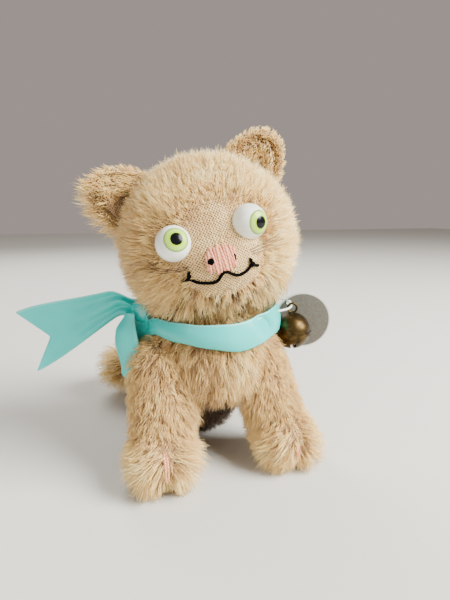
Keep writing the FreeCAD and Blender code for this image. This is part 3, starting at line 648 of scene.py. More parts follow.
def head_weight(points):
    local = head_local(points)
    view = (0.5 + 0.7 * smooth(-local[:, 1], -14, 6)) * (0.14 + 0.86 * shorn(local))
    free = smooth(eye_gap(local), 4.6, 5.2)
    return view * free * smooth(neck_local(points)[:, 2], 0.1, 0.6)


head_roots, head_out = skin_roots(head, 41500, head_weight, 11)
local = head_local(head_roots)
coat_share = shorn(local)
print("head roots", len(head_roots), "in the long coat", int((coat_share > 0.5).sum()))

# %% [markdown]
# The head's pile grows away from the nose. It hangs long at the chin and the cheeks, is short over the
# brow and round the eyes, and leans over the rim of the eye on the kitten's left.

# %% Head pile: which way and how long
head_spin = np.array(head_axes)[:3, :3].T
away = np.stack([local[:, 0], local[:, 1] + 24.0, local[:, 2] + 3.0], 1) @ head_spin
chin = smooth(-local[:, 2], 9, 14) * smooth(-local[:, 1], -4, 8)
combed = unit(along_skin(away, head_out))
combed = unit(combed + np.array([0, 0, -0.35]) * smooth(local[:, 1], -8, 10)[:, None])
combed = unit(combed + np.array([0, -0.25, -1.2]) * chin[:, None])
combed = unit(along_skin(combed, head_out))
brow = smooth(local[:, 2], 4, 12) * (1 - smooth(np.abs(local[:, 0]), 5, 13)) * smooth(-local[:, 1], 8, 14)
jowl = smooth(-local[:, 2], 1, 9) * smooth(np.abs(local[:, 0]), 7, 14)
head_length = 0.55 + 4.6 * coat_share + 2.4 * chin + 1.8 * jowl - 3.0 * brow * coat_share
near_eye = 0.8 + 1.0 * np.maximum(eye_gap(local) - 4.9, 0)
head_length = np.minimum(head_length, near_eye)
from_eye = local - np.array(EYES["left"])
fringe = smooth(from_eye[:, 0], 1.5, 3.5) * (1 - smooth(eye_gap(local), 6.4, 7.4))
head_length = head_length * (1 - fringe) + 3.0 * fringe
combed = unit(combed + 3.0 * fringe[:, None] * (np.array([-0.6, -1.0, 0.1]) @ head_spin))
lean_size = 0.3 + 0.5 * coat_share - 0.1 * chin + 0.2 * fringe
print("head pile from", round(head_length.min(), 2), "to", round(head_length.max(), 2), "mm")

# %% [markdown]
# The coat is painted palest on the crown and towards the kitten's left, where the window light falls,
# and darker towards its right: that is painted light and shade. Tone varies from lock to lock, most of all
# under the chin. The pile is laid as six patches, so that no piece has too many triangles.

# %% Head pile: tone and patches
# Paler on the crown and the kitten's left, darker on its right: painted light and shade from the window.
head_tone = 0.6 + 0.1 * coat_share + 0.1 * smooth(local[:, 2], 6, 16) + 0.1 * smooth(local[:, 0], -6, 14)
head_tone = head_tone - 0.14 * smooth(-local[:, 0], 8, 20)
head_tone = head_tone - 0.1 * chin + 0.04 * np.sin(local[:, 0] * 0.5) * np.sin(local[:, 2] * 0.4)
head_streak = 0.09 + 0.26 * chin + 0.06 * smooth(-local[:, 1], 0, 8)
left_half, front_half, upper_half = local[:, 0] >= 0, local[:, 1] < -9, local[:, 2] >= 1
areas = {"front": front_half, "crown": ~front_half & upper_half, "nape": ~front_half & ~upper_half}
patches = [(area + side, inside & half) for area, inside in areas.items()
           for side, half in (("_left", left_half), ("_right", ~left_half))]
for number, (patch, chosen) in enumerate(patches):
    lay_pile("head_pile_" + patch, "head", head_roots[chosen], head_out[chosen], head_length[chosen],
             combed[chosen] * lean_size[chosen, None], head_tone[chosen], 20 + number,
             clump=0.42 if "front" in patch else 0.32, streak=head_streak[chosen])

# %% [markdown]
# On the body the pile is combed down and a little back, and splays out at the floor. It is longer on
# the chest, with a pale tuft in the middle. In the hollow between the legs it is painted dark, as painted shade.


# %% Body pile
def body_weight(points):
    free = smooth(points[:, 2], 0.2, 1.0) * smooth(-neck_local(points)[:, 2], 0.3, 1.2)
    return free * (0.75 + 0.5 * smooth(-points[:, 1], 0, 30))


body_roots, body_out = skin_roots(body, 29500, body_weight, 12)
down = unit(along_skin(np.array([0, 0, -1.0]) + np.array([0, 0.25, 0]), body_out))
splay = smooth(body_roots[:, 2], 0, 7)[:, None]
down = unit(down * splay + unit(body_out * np.array([1, 1, 0]) + 1e-6) * (1 - splay))
front_share = smooth(-body_roots[:, 1], 28, 42)
belly = (1 - smooth(body_roots[:, 2], 19, 28)) * (1 - smooth(np.abs(body_roots[:, 0] - 2), 13, 19))
belly = belly * smooth(-body_out[:, 1], -0.3, 0.1)
body_length = (3.9 + 1.2 * front_share - 2.6 * belly) * (0.45 + 0.55 * smooth(body_roots[:, 2], 0, 6))
# The dark where belly is high is painted shade in the hollow between the legs.
body_tone = 0.54 - 0.62 * belly + 0.12 * smooth(body_roots[:, 2], 10, 45)
body_tone = body_tone + 0.05 * np.sin(body_roots[:, 0] * 0.4) * np.sin(body_roots[:, 2] * 0.35)
tuft = smooth(-body_roots[:, 1], 30, 38) * (1 - smooth(np.abs(body_roots[:, 0] - 5), 2, 8))
tuft = tuft * smooth(body_roots[:, 2], 26, 31)
body_tone = body_tone - 0.16 * front_share * (1 - tuft) + 0.1 * tuft
body_length = body_length + 1.2 * tuft + 3.4 * belly * smooth(body_roots[:, 1], -30, -22)
in_chest = body_roots[:, 1] < -20
patches = {"chest_left": in_chest & (body_roots[:, 0] >= 2), "chest_right": in_chest & (body_roots[:, 0] < 2),
           "rump_left": ~in_chest & (body_roots[:, 0] >= 0), "rump_right": ~in_chest & (body_roots[:, 0] < 0)}
for number, (patch, chosen) in enumerate(patches.items()):
    lay_pile("body_pile_" + patch, "torso", body_roots[chosen], body_out[chosen], body_length[chosen],
             down[chosen] * 0.75, body_tone[chosen], 30 + number, clump=0.4 if "chest" in patch else 0.32,
             streak=0.17 if "chest" in patch else 0.1)

# %% [markdown]
# On the legs the pile hangs straight down, then fans out over the toes in long locks, parted by the
# stitch that shapes each paw. The pile is also longer on the inside, where the legs shade the belly.


# %% Leg pile
def leg_weight(points):
    return smooth(points[:, 2], 0.3, 1.2) * (0.7 + 0.6 * smooth(-points[:, 1], 30, 45))


for number, (side, leg) in enumerate(legs.items()):
    paw = np.array(PAW[side])
    roots, outward = skin_roots(leg, 11000, leg_weight, 14 + number)
    fan = smooth(-roots[:, 2], -17, -9)
    from_toe = roots - (paw + np.array([0, -9.5, 3.0]))
    way = np.array([0, 0, -1.0]) * (1 - 0.55 * fan)[:, None]
    way = way + unit(from_toe * np.array([1, 0.9, 1])) * (0.9 * fan)[:, None]
    way = unit(along_skin(way, outward))
    near_stitch = np.abs(roots[:, 0] - paw[0]) + 10 * (roots[:, 1] > paw[1] - 5)
    toes = smooth(paw[1] - roots[:, 1], 2, 8)
    leg_length = (3.3 + (1.6 + 2.4 * toes) * fan) * (0.55 + 0.45 * np.maximum(smooth(roots[:, 2], 0, 5), toes))
    inner = smooth(outward[:, 0] * (1 if side == "right" else -1), 0.2, 0.8) * smooth(roots[:, 2], 6, 14)
    leg_length = leg_length + (2.4 if side == "right" else 1.2) * inner
    leg_length = leg_length * (0.35 + 0.65 * smooth(near_stitch, 0.4, 2.6))
    leg_tone = 0.6 + 0.05 * fan + 0.08 * smooth(roots[:, 2], 20, 10)
    lay_pile("front_leg_pile_" + side, "torso", roots, outward, leg_length, way * 0.8, leg_tone, 40 + number,
             clump=0.42, hairs_per_lock=14, streak=0.1 + 0.09 * toes * fan)

# %% [markdown]
# The tail has the longest pile, painted the palest: partly its own pale coat, partly painted light, as the tail sits in
# shade. It is combed along the curl, towards the tail's end.

# %% Tail pile
roots, outward = skin_roots(tail, 5800, lambda points: smooth(points[:, 2], 0.3, 1.2), 16)
spiral = unit(np.cross(np.array([0, 0, 1.0]), roots - np.array(TAIL_MIDDLE)))
way = unit(along_skin(spiral + np.array([-0.6, 0, -0.2]), outward))
tail_length = 7.4 * (0.5 + 0.5 * smooth(roots[:, 2], 0, 5))
# Tone 0.84 is the tail's pale coat raised further, as painted light against the shade it sits in.
lay_pile("tail_pile", "torso", roots, outward, tail_length, way * 0.6, np.full(len(roots), 0.84), 50)

# %% [markdown]
# Each ear is two layers of cloth sewn to a rounded triangle: plush behind, and a darker shorn lining
# in front. The layers are cupped grids, thickened, and leaned out from the crown to each side.


# %% Ear shape
lining_finish = backing("ear_lining", head_turn, paint(188, 154, 108), paint(140, 104, 66), paint(72, 48, 28))
EAR_LEAN, EAR_BASE, EAR_TIP, EAR_HALF = 49.0, 19.5, 34.7, 8.8
EAR_STEPS = 22


def ear_axes(side):
    """The ear's own axes: Z from the head's centre to the tip, -Y to the front."""
    return head_axes @ Matrix.Rotation(math.radians(EAR_LEAN if side == "left" else -EAR_LEAN), 4, "Y")


def sort_rim(bm):
    """Put the faces of the rim in order of place: the order they are made in isn't always the same."""
    sheets = 2 * EAR_STEPS ** 2
    slope = Vector((1.0, 0.62, 0.38))
    bm.faces.index_update()
    bm.faces.sort(key=lambda f: f.index if f.index < sheets else 2 * sheets + f.calc_center_median().dot(slope))


def ear_sheet(side, inset, front, thick, cup):
    """A cupped, rounded triangle in the ear's plane, in millimetres, placed on the head."""
    bm = bmesh.new()
    bmesh.ops.create_grid(bm, x_segments=EAR_STEPS, y_segments=EAR_STEPS, size=1.0)
    for vertex in bm.verts:
        x, up = vertex.co.x, (vertex.co.y + 1) / 2
        half = EAR_HALF * (1 - 0.22 * up) * math.sqrt(max(0.0, 1 - max(0.0, (up - 0.42) / 0.58) ** 2.3))
        half = max(half - inset, 0.15)
        height = EAR_BASE - 1.0 + (EAR_TIP - EAR_BASE + 1.0 - inset) * up
        depth = front + cup * (x * x) * (1 - 0.3 * up) + 1.2 * up * up
        vertex.co = Vector((x * half, -depth, height))
    bmesh.ops.recalc_face_normals(bm, faces=bm.faces)
    bmesh.ops.transform(bm, matrix=ear_axes(side), verts=bm.verts)
    bmesh.ops.solidify(bm, geom=bm.faces[:], thickness=thick)
    bmesh.ops.recalc_face_normals(bm, faces=bm.faces)
    sort_rim(bm)
    return bm


print("ear from", EAR_BASE, "to", EAR_TIP, "mm from the head's centre")

# %% [markdown]
# Long pile covers the back of each ear and comes over the rim. On the kitten's right ear the outer
# edge is shaggier and its pile falls outwards.


# %% Ear pile
def ear_back_pile(number, side, back):
    axes = ear_axes(side)
    roots, outward = skin_roots(back, 4800, lambda points: np.ones(len(points)), 60 + number)
    flat, facing = seen_from(axes, roots), seen_from(axes, outward, directions=True)
    keep = flat[:, 2] > EAR_BASE + 1.5
    roots, outward, flat, facing = roots[keep], outward[keep], flat[keep], facing[keep]
    rim = np.hypot(flat[:, 0] / 7.0, np.maximum(flat[:, 2] - 27.0, 0) / 7.0)
    in_front = smooth(-facing[:, 1], 0.0, 0.5)
    away_side = smooth(outward @ np.array([-0.8, 0, -0.6]), -0.1, 0.6)
    back_length, rim_length = (2.0, 1.0) if side == "left" else (2.0 + 3.0 * away_side, 2.6)
    length = back_length * (1 - in_front) + in_front * (0.6 + rim_length * smooth(rim, 0.6, 1.1))
    upward = np.broadcast_to(np.array(axes)[:3, :3] @ np.array([0, 0, 1.0]), roots.shape)
    upward = unit(along_skin(upward + 0.6 * (roots - roots.mean(0)) / 8.0, outward))
    if side == "right":
        upward = unit(along_skin(upward + np.array([-1.6, -0.3, -0.7]), outward))
    tones = 0.62 + 0.12 * smooth(rim, 0.6, 1.2)
    lay_pile("ear_pile_" + side, "head", roots, outward, length, upward * 0.7, tones, 70 + number)


# %% [markdown]
# The lining is nearly bare below, and the pile thickens and grows paler towards the fold at the top,
# where the back's cloth turns over. The fold runs at a slant that differs between the ears.


# %% Lining pile
def ear_lining_pile(number, side, lining):
    axes = ear_axes(side)
    roots, outward = skin_roots(lining, 3200, lambda points: np.ones(len(points)), 80 + number)
    flat, facing = seen_from(axes, roots), seen_from(axes, outward, directions=True)
    slant, low, high = (-0.25, 24.5, 27.0) if side == "left" else (0.6, 25.0, 29.0)
    fold = smooth(flat[:, 2] + slant * flat[:, 0], low, high)
    chance = np.random.default_rng(90 + number).random(len(roots))
    keep = (facing[:, 1] < -0.3) & (chance < 0.16 + 0.84 * fold)
    roots, outward, fold = roots[keep], outward[keep], fold[keep]
    downward = np.broadcast_to(np.array(axes)[:3, :3] @ np.array([0.15, 0, -1.0]), roots.shape)
    downward = unit(along_skin(downward, outward)) * (1 if side == "left" else -1)
    length = 1.3 + (0.8 if side == "left" else 3.0) * fold
    lay_pile("ear_lining_pile_" + side, "head", roots, outward, length, downward * 0.8, 0.1 + 0.62 * fold,
             95 + number, streak=0.1)


# %% Ears
for number, side in enumerate(("left", "right")):
    back = piece("ear_back_skin_" + side, ear_sheet(side, 0.0, -0.9, 1.4, 2.6), body_backing)
    settle(back, "head", "mohair_plush", "ear_back_" + side)
    lining = piece("ear_lining_skin_" + side, ear_sheet(side, 2.4, 0.6, 0.7, 2.2), lining_finish)
    settle(lining, "head", "mohair_plush", "ear_lining_" + side)
    ear_back_pile(number, side, back)
    ear_lining_pile(number, side, lining)

# %% [markdown]
# Stitches are thread laid on the cloth: they dive in at each end and stand a little proud between.
# Every line of thread is drawn on the face as seen from the front, dropped onto the skin, and given
# its thickness by a curve's bevel. A diagonal stripe in the finish is the twist of the thread.


# %% Threads
def thread_finish(name, dark, light, sheen=0.3):
    finish = Finish(name, Roughness=0.7, Sheen_Weight=sheen, Specular_IOR_Level=0.5 * sheen)
    x, y, z = finish.axes(finish.place())
    ply = ((x + y * 0.8 + z * 1.3) * TWIST).sine() * 0.5 + 0.5
    fuzz = finish.noise(2500.0, 2.0)
    finish.feed(Base_Color=finish.mix(ply * 0.6 + fuzz * 0.4, dark, light))
    finish.bump(ply + fuzz * 0.4, 0.5, 0.0001)
    return finish


mouth_finish = thread_finish("black_thread", paint(1, 1, 2), paint(9, 8, 9), sheen=0.03)
pink_finish = thread_finish("pink_thread", paint(216, 124, 92), paint(246, 182, 146))
whisker_finish = Finish("whisker_thread", Roughness=0.5, Base_Color=paint(66, 48, 34))
head_tree = BVHTree.FromPolygons([v.co / MM for v in head.data.vertices],
                                 [list(f.vertices) for f in head.data.polygons])
forward_way = (head_axes.to_3x3() @ Vector((0, 1, 0))).normalized()


def on_face(x, z, lift):
    """A point of the face, drawn from the front in the head's own axes, lifted off the skin."""
    hit, normal, _, _ = head_tree.ray_cast(head_axes @ Vector((x, -60, z)), forward_way)
    return hit + normal * lift


def sewn(name, lines, radius, finish, body_name, slot, *nodes):
    """Threads along lists of points in millimetres, as one closed mesh."""
    curve = bpy.data.curves.new(name, "CURVE")
    curve.dimensions, curve.use_fill_caps = "3D", True
    curve.bevel_depth, curve.bevel_resolution = radius * MM, 2
    for points in lines:
        spline = curve.splines.new("NURBS")
        spline.points.add(len(points) - 1)
        for knot, point in zip(spline.points, points):
            knot.co = (*(Vector(point) * MM), 1.0)
        spline.order_u, spline.use_endpoint_u, spline.resolution_u = 3, True, 6
    holder = bpy.data.objects.new(name, curve)
    bpy.context.collection.objects.link(holder)
    graph = bpy.context.evaluated_depsgraph_get()
    made_mesh = bpy.data.meshes.new_from_object(holder.evaluated_get(graph))
    bpy.data.objects.remove(holder)
    made = bpy.data.objects.new(name, made_mesh)
    bpy.context.collection.objects.link(made)
    made_mesh.materials.clear()
    made_mesh.materials.append(finish.material)
    print(name, "threads", len(lines), "faces", len(made_mesh.polygons))
    return settle(made, body_name, slot, *nodes)


def face_stitch(points, lift):
    """A stitch through points of the face that dives into the cloth at both ends."""
    drawn = [on_face(x, z, lift) for x, z in points]
    return [on_face(*points[0], -0.8)] + drawn + [on_face(*points[-1], -0.8)]


def between(first, last, steps):
    """Points in even steps from the first to the last."""
    return [tuple(start + (end - start) * step / steps for start, end in zip(first, last))
            for step in range(steps + 1)]


# %% [markdown]
# The mouth is one wavy line of black thread with a fork of short stitches at each end. It is a little
# uneven, as it is on a face sewn by hand.

# %% Mouth
smile = [(-9.8, -6.4), (-8.9, -7.2), (-7.6, -8.0), (-6.2, -8.4), (-4.4, -8.9), (-2.9, -8.6), (-1.8, -7.2), (-0.5, -6.8),
         (1.0, -8.3), (2.8, -8.9), (4.8, -8.4), (6.5, -7.3)]
forks = [((-9.7, -6.4), (-9.3, -5.0), 0.6), ((-9.6, -6.4), (-11.9, -7.2), 0.5), ((6.4, -7.4), (6.3, -5.8), 0.5),
         ((6.3, -7.3), (8.3, -8.4), 0.5), ((-9.9, -6.7), (-9.3, -6.0), 0.7), ((6.1, -7.5), (7.0, -7.2), 0.7)]
mouth = [face_stitch(smile, 0.45)] + [face_stitch(between(first, last, 2), lift) for first, last, lift in forks]
sewn("mouth_thread", mouth, 0.42, mouth_finish, "head", "dark_thread", "mouth_stitches")

# %% [markdown]
# The nose is thirteen upright satin stitches side by side, whose lengths fill an oval. A few dark
# stitches over them are the nostrils.

# %% Nose and nostrils
nose = []
for number in range(13):
    x = -4.5 + 0.6 * number
    reach = (3.5 + 0.35 * math.sin(number * 2.4)) * math.sqrt(1 - ((x + 0.9) / 4.5) ** 2)
    slant = 0.25 * math.sin(number * 1.7)
    upright = between((x * 0.95 + slant, -3.7 + reach), (x * 1.02 - slant, -3.7 - reach), 4)
    nose.append(face_stitch(upright, 0.3 + 0.12 * (number % 2)))
sewn("nose_thread", nose, 0.34, pink_finish, "head", "pink_thread", "nose_stitches")
nostrils = [face_stitch(between((-4.0 + 0.3 * k, -3.6 - reach), (-3.9 + 0.3 * k, -3.6 + reach), 2), 0.7)
            for k, reach in enumerate((0.3, 0.6, 0.65, 0.35))]
nostrils.append(face_stitch(between((2.4, -5.2), (2.6, -3.2), 2), 0.4))
sewn("nostril_thread", nostrils, 0.36, mouth_finish, "head", "dark_thread", "nostril_stitches")

# %% [markdown]
# Three whiskers leave each side of the muzzle and stand off the cheek. A double pink stitch runs over
# the front of each paw, round the egg that shapes it.


# %% Whiskers and toes
def whisker_marks(side, number):
    """Where one whisker goes, as (across, up, off the skin)."""
    if side == "left":
        return [(5.6 + 0.5 * number, -4.0 - 0.5 * number, -0.6), (9.5, -3.6 - 0.7 * number, 2.4),
                (14.0 + number, -2.0 - 1.3 * number, 4.2)]
    return [(-8.3 - 0.4 * number, -3.7 - 0.3 * number, -0.5), (-11.6, -2.9 - 0.45 * number, 2.8),
            (-14.6, -1.9 - 0.5 * number, 3.6), (-16.6, 0.4 - 1.3 * number, 3.4)]


def toe_stitch(side, shift):
    highest, reach = (4.9, 8.5) if side == "right" else (1.9, 7.0)
    arc = []
    for number in range(7):
        rise = highest - reach * number / 6
        forward = 10.3 * math.sqrt(max(0.0, 1 - (rise / 9.2) ** 2))
        depth = 0.5 if 0 < number < 6 else -0.8
        arc.append(PAW[side] + Vector((shift, -(forward + depth), rise)))
    return arc


for side in ("left", "right"):
    whiskers = [[on_face(*mark) for mark in whisker_marks(side, number)] for number in range(3)]
    sewn("whisker_threads_" + side, whiskers, 0.09, whisker_finish, "head", "whisker_thread", "whiskers_" + side)
    toes = [toe_stitch(side, shift) for shift in (-0.35, 0.35)]
    sewn("toe_thread_" + side, toes, 0.36, pink_finish, "torso", "pink_thread", "toe_stitch_" + side)

# %% [markdown]
# The ribbon is one length of satin: folded lengthwise round the neck, tied at the side, with a wide
# swallow-tailed end that flies out and a short end that curls on itself. Satin shines along its
# threads, so it has a low roughness with an even sheen. A fine cross rib shows in its bump, and both
# long edges have a paler woven selvedge.


# %% Satin
satin = Finish("aqua_satin", Roughness=0.34, Sheen_Weight=0.08, Sheen_Roughness=0.3, Coat_Weight=0.15,
               Coat_Roughness=0.25)
along_ribbon, across_ribbon, _ = satin.axes(satin.node("ShaderNodeUVMap", {"uv_map": "ribbon"}))
rib = (along_ribbon * 2400.0).sine() * 0.5 + 0.5
selvedge = abs(across_ribbon - 0.5).step(0.462, 0.478)
cloud = satin.noise(60.0, 2.0)
dyed = satin.mix(cloud.step(0.3, 0.7), paint(14, 184, 178), paint(32, 198, 190))
satin.feed(Base_Color=satin.mix(selvedge * 0.2, dyed, paint(190, 240, 234)))
satin.bump(rib * 0.5 + selvedge, 0.25, 0.00006)


# %% [markdown]
# Each stretch of ribbon is a grid whose points a function bends into place: it is given the share of
# the way along and across, and answers with a point. The grid keeps those two shares as its map, so
# the ribs and the selvedge follow the ribbon, and then it is given its thickness.


# %% Ribbon from a grid
def ribbon_grid(name, long_steps, wide_steps, shape, thick, flat_size, *nodes, closed=False, held="folded",
                cut=None):
    """A sheet of ribbon: shape gives a point in millimetres for each share along and across."""
    bm = bmesh.new()
    bmesh.ops.create_grid(bm, x_segments=long_steps, y_segments=wide_steps, size=0.5)
    layer = bm.loops.layers.uv.new("ribbon")
    for vertex in bm.verts:
        vertex.co += Vector((0.5, 0.5, 0))
    for face in bm.faces:
        for loop in face.loops:
            loop[layer].uv = (loop.vert.co.x, loop.vert.co.y)
    for vertex in bm.verts:
        vertex.co = Vector(shape(vertex.co.x, vertex.co.y))
    if closed:
        bmesh.ops.remove_doubles(bm, verts=bm.verts, dist=0.01)
    bmesh.ops.recalc_face_normals(bm, faces=bm.faces)
    made = piece(name, bm, satin)
    modifier(made, "SUBSURF", levels=1, render_levels=1)
    modifier(made, "SOLIDIFY", thickness=thick * MM, offset=0.0)
    bake_modifiers(made)
    settle(made, "torso", "satin_ribbon", *nodes)
    print(name, "faces", len(made.data.polygons))


# %% [markdown]
# Round the neck the ribbon is folded lengthwise: it runs down in front, turns under and comes up
# again behind. Wrinkles run across it, it is gathered at the knot, and one deep crease lies at the
# front on the kitten's left, where the string comes out.


# %% Ribbon round the neck
def bulge(value, middle, width):
    """1 at the middle, fading to either side."""
    return math.exp(-((value - middle) / width) ** 2)


def wrinkle(angle, seed):
    coarse = math.sin(angle * 3 + seed) + 0.6 * math.sin(angle * 7 + 2 * seed)
    return (coarse + 0.4 * math.sin(angle * 13 + 3 * seed)) / 2


def collar_shape(along, across):
    """Once round the neck; across runs down the front face, round the lower fold and up the inside."""
    angle = along * 2 * math.pi
    degrees = math.degrees(angle)
    gather = bulge(degrees, KNOT_DEGREES, 22)
    crease = bulge(degrees, 296 + 24 * across, 7)
    narrow = ribbon_narrow(degrees)
    top, bottom = 4.5 + 1.0 * narrow, -4.3 + 4.0 * narrow
    if across < 0.52:
        share = across / 0.52
        height = top + (bottom - top) * share
        radius = 20.3 + 1.0 * math.sin(share * math.pi * 0.95) + 0.5 * share
    else:
        share = (across - 0.52) / 0.48
        height = bottom + (top - 1.0 - bottom) * share
        radius = 20.3 - 0.9 * share + 0.45 * math.cos(share * math.pi / 2)
    radius += 0.22 * wrinkle(angle, 1.0 + across * 2) * (1 + gather)
    radius -= crease * 2.8 * bulge(across, 0.2, 0.19)
    height += 0.5 * wrinkle(angle, 4.0) * (1 - abs(across - 0.5)) - 0.35 * gather * height
    radius += gather * 0.5 * math.sin(across * 22)
    dent = bulge(degrees, 350, 14) * bulge(height, -5.0, 5.0)
    radius -= 1.6 * dent
    return collar_point(degrees, radius, height)


ribbon_grid("ribbon_round_neck", 104, 16, collar_shape, 0.25, (0.020, 0.129), "ribbon_collar", closed=True)

# %% [markdown]
# The flying end springs from the knot in pleats, spreads to the ribbon's full width and is cut in a
# swallow tail, whose notch is the way in which the reach falls off towards the middle.

# %% Flying end
KNOT_WIDE = 4.2
KNOT = collar_point(KNOT_DEGREES, COLLAR_RADIUS + KNOT_WIDE * 0.35, 5.0)
flared_turn = Matrix.Rotation(math.radians(165), 3, "Z") @ Matrix.Rotation(math.radians(13.5), 3, "Y")
flared_start = KNOT + Vector((-1.5, 0, 0.5))


def flared_shape(along, across):
    w = 2 * across - 1
    reach = 36.0 - 8.0 * (1 - abs(w))
    half = 3.4 + 6.6 * smooth(along, 0.0, 1.0)
    x = -1.0 + (reach + 1.0) * along
    pleat = (1 - along) ** 1.6 * 1.1 * math.sin(w * math.pi * 2.3 + 0.6)
    roll = 1.5 * math.sin(along * 2.6) * w + 0.9 * math.sin(along * math.pi * 1.2)
    roll += 0.5 * math.sin(along * 9 + w * 2) * along
    lift = 5.5 * (1 - along) * smooth(along, 0.0, 0.25) - 1.9 * along
    return flared_start + flared_turn @ Vector((x, pleat + roll, w * half)) + Vector((0, 0, lift))


ribbon_grid("ribbon_flying_end", 42, 20, flared_shape, 0.25, (0.020, 0.036), "ribbon_tail_flared",
            held="hung", cut=0.00064)

# %% [markdown]
# The other end is short. It hangs from the knot and has curled round on itself lengthwise, nearly
# into a tube that closes towards its tip.

# %% Hanging end
hanging_start = KNOT + Vector((-2.6, -4.0, 0.0))


def hanging_shape(along, across):
    """Its front edge is rolled over, open above and closing below."""
    first, last = 15.0, 258.0 + 54.0 * along
    bend = math.radians(first + (last - first) * across)
    wide = (3.0 + 2.4 * smooth(along, 0.0, 0.3)) * (1 - 0.55 * smooth(along, 0.4, 1.0))
    drop = (18.6 - 1.6 * math.sin(bend)) * along - 0.5
    middle = hanging_start + Vector((-2.6 * along, -0.8 * math.sin(along * 3), -drop))
    sideways, forward = math.cos(bend) * wide, math.sin(bend) * wide
    return middle + Vector((sideways, forward * 0.5 - 0.2 * sideways, 0))


ribbon_grid("ribbon_hanging_end", 32, 18, hanging_shape, 0.25, (0.0170, 0.0200), "ribbon_tail_hanging", held="hung")

# %% [markdown]
# The knot is a short band wrapped round the place where the others cross. It swells in the middle and
# is pinched at both edges, with pleats along it.


# %% Knot
def knot_shape(along, across):
    """The wrap of the knot: a band round its own middle, pinched at both edges."""
    angle = along * 2 * math.pi
    w = 2 * across - 1
    fat = max(0.0, 1 - w * w) ** 0.42
    pleats = 1 + 0.07 * math.sin(angle * 6 + 2.5 * math.sin(w * 2.5))
    bulk = Vector((3.5 * math.cos(angle) * fat * pleats, w * KNOT_WIDE, 3.9 * math.sin(angle) * fat * pleats))
    return KNOT + Matrix.Rotation(math.radians(-12), 3, "Z") @ bulk


ribbon_grid("ribbon_knot_wrap", 46, 16, knot_shape, 0.3, (0.0105, 0.0205), "ribbon_knot", closed=True)

# %% [markdown]
# The eyes are balls of white glass with the iris and pupil laid in as coloured glass. The measured
# parts have the right shape, so they keep it. The iris is bright yellow green at the pupil and goes
# to a greener rim; distance from the line of gaze gives that.

# %% Glass eyes
white_glass = Finish("white_glass", Roughness=0.28, Coat_Weight=0.25, Coat_Roughness=0.12)
milk = white_glass.noise(300.0, 2.0)
white_glass.feed(Base_Color=white_glass.mix(milk.step(0.3, 0.7), paint(226, 228, 212), paint(244, 245, 236)))
black_glass = Finish("black_glass", Roughness=0.2, Specular_IOR_Level=0.12, Coat_Weight=0.05, Coat_Roughness=0.1)
smoke = black_glass.noise(500.0, 2.0)
black_glass.feed(Base_Color=black_glass.mix(smoke, paint(6, 6, 8), paint(16, 16, 20)))
EYE_RADIUS = 4.75


def iris_glass(side, yaw, pitch):
    """Green glass whose colour goes by the distance from the pole, where the gaze leaves the ball."""
    yaw, pitch = math.radians(yaw), math.radians(pitch)
    gaze = Vector((math.sin(yaw) * math.cos(pitch), -math.cos(yaw) * math.cos(pitch), math.sin(pitch)))
    pole = head_axes @ (EYES[side] + gaze * EYE_RADIUS) * MM
    finish = Finish("green_glass_" + side, Roughness=0.25, Specular_IOR_Level=0.25, Coat_Weight=0.1, Coat_Roughness=0.1)
    reach = finish.node("ShaderNodeVectorMath", {"operation": "DISTANCE"}, {0: finish.place(), 1: tuple(pole)}, "Value")
    fleck = finish.noise(2200.0, 3.0)
    radial = reach * 1000.0 + fleck * 0.5 - 0.25
    stops = [(0.0, paint(150, 196, 24)), (0.3, paint(176, 214, 60)), (0.75, paint(172, 206, 96)),
             (1.0, paint(112, 150, 66))]
    finish.feed(Base_Color=finish.node("ShaderNodeValToRGB", {"stops": stops}, {"Fac": radial.step(1.5, 3.35)}))
    print(finish.material.name, "pole", [round(number, 4) for number in pole])
    return finish


eye_finishes = {"left": iris_glass("left", 28.1, -8.2), "right": iris_glass("right", 11.7, 17.1)}

# %% [markdown]
# The bell is pressed brass gone to bronze: brown in the hollows, brighter where it is rubbed. The
# card is board with a paler edge, which the distance from its middle gives. Its face is painted grey, darker than the
# board is, as painted shade.

# %% Bell and card
bronze = Finish("bronze", Metallic=1.0)
tarnish = bronze.noise(420.0, 5.0).step(0.35, 0.7)
fine = bronze.noise(3000.0, 3.0)
bronze.feed(Base_Color=bronze.mix(tarnish, paint(82, 66, 38), paint(44, 34, 18)),
            Roughness=0.3 + tarnish * 0.16 + fine * 0.08)
bronze.bump(fine, 0.15, 0.00004)
card = Finish("card_painted_shade", Roughness=0.8)
fibre = card.noise(1400.0, 5.0)
# The grey of the card's face is painted shade; the board itself is paler.
card_face_painted_shade = card.mix(fibre.step(0.3, 0.7), paint(86, 83, 74), paint(98, 95, 86))
CARD_MIDDLE = (0.034763, -0.029443, 0.043082)
from_middle = card.node("ShaderNodeVectorMath", {"operation": "DISTANCE"}, {0: card.place(), 1: CARD_MIDDLE}, "Value")
card.feed(Base_Color=card.mix((from_middle * 1000.0).step(8.9, 9.3) * 0.8, card_face_painted_shade, paint(220, 216, 204)))
card.bump(fibre, 0.25, 0.00006)

# %% [markdown]
# The neck's discs and washers, the pin, the wire in the eyes, the threads that hold them and the
# stuffing are hidden in the toy, but each still gets the finish of what it is made of.

# %% Inner parts
steel = Finish("steel_wire", Metallic=1.0, Base_Color=paint(170, 172, 176))
scratch = steel.noise(2600.0, 4.0)
steel.feed(Roughness=0.25 + scratch * 0.25)
board = Finish("pressed_board", Roughness=0.9)
pulp = board.noise(900.0, 5.0)
board.feed(Base_Color=board.mix(pulp, paint(112, 78, 48), paint(150, 112, 74)))
board.bump(pulp, 0.4, 0.0001)
wool = Finish("wood_wool", Roughness=0.95)
shavings = wool.noise(500.0, 6.0)
wool.feed(Base_Color=wool.mix(shavings, paint(190, 160, 104), paint(226, 204, 156)))
wool.bump(shavings, 0.8, 0.0004)
linen_thread = thread_finish("linen_thread", paint(170, 156, 126), paint(214, 202, 174))

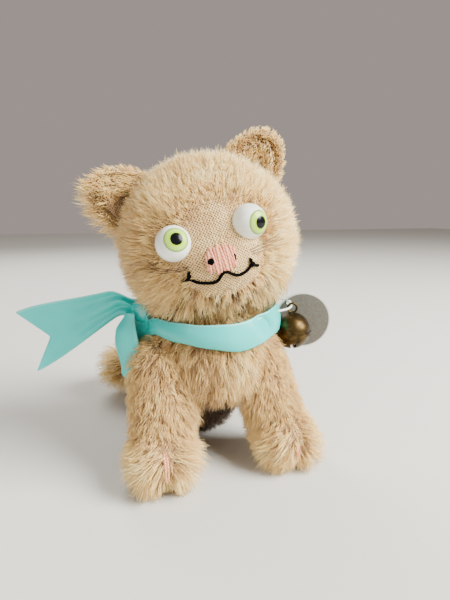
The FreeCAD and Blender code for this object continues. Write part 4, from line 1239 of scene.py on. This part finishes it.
# %% [markdown]
# The measured parts that stay in sight keep their shape and only get a finish. Those that a soft
# piece stands for get one too, so that no part is left without.

# %% Finishes for the measured parts
finish_of = {"bell_upper_shell": bronze, "bell_lower_shell": bronze, "bell_ring": bronze, "bell_pellet": steel,
             "swing_tag": card, "neck_cotter_pin": steel, "neck_washer_body": steel, "neck_washer_head": steel,
             "neck_disc_body": board, "neck_disc_head": board, "eye_anchor_threads": linen_thread}
for side in ("left", "right"):
    finish_of["eye_ball_" + side] = white_glass
    finish_of["eye_iris_" + side] = eye_finishes[side]
    finish_of["eye_pupil_" + side] = black_glass
    finish_of["eye_shank_" + side] = steel
for name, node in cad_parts.items():
    finish = finish_of.get(name, wool)
    node.data.materials.clear()
    node.data.materials.append(finish.material)
print("measured parts", len(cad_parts), "with a finish of their own", len(finish_of))

# %% [markdown]
# A plain pale floor and soft light: one wide window-like light from the kitten's left front, a weak
# fill from the other side, a soft one behind, so that the back isn't dark, and a pale surround.

# %% Floor and light
floor_finish = Finish("floor", Roughness=0.9, Base_Color=paint(206, 206, 198))
floor_bm = bmesh.new()
bmesh.ops.create_grid(floor_bm, x_segments=1, y_segments=1, size=1500)
floor = piece("floor", floor_bm, floor_finish)

world = bpy.data.worlds.new("studio")
bpy.context.scene.world = world
world.use_nodes = True
surround = world.node_tree.nodes["Background"]
surround.inputs["Color"].default_value = paint(214, 200, 194)
surround.inputs["Strength"].default_value = 0.55


def soft_light(name, place, size, power, colour):
    data = bpy.data.lights.new(name, "AREA")
    data.shape, data.size, data.energy, data.color = "DISK", size, power, colour
    light = bpy.data.objects.new(name, data)
    light.location = place
    light.rotation_euler = (Vector((0, -0.03, 0.045)) - Vector(place)).to_track_quat("-Z", "Y").to_euler()
    bpy.context.collection.objects.link(light)
    print(name, "light", power, "W")


soft_light("window", (0.5, -0.42, 0.5), 0.5, 27.0, (1.0, 0.985, 0.95))
soft_light("fill", (-0.45, -0.45, 0.3), 0.5, 1.5, (0.98, 0.98, 1.0))
soft_light("back", (-0.1, 0.5, 0.5), 0.4, 4.5, (1.0, 0.98, 0.97))
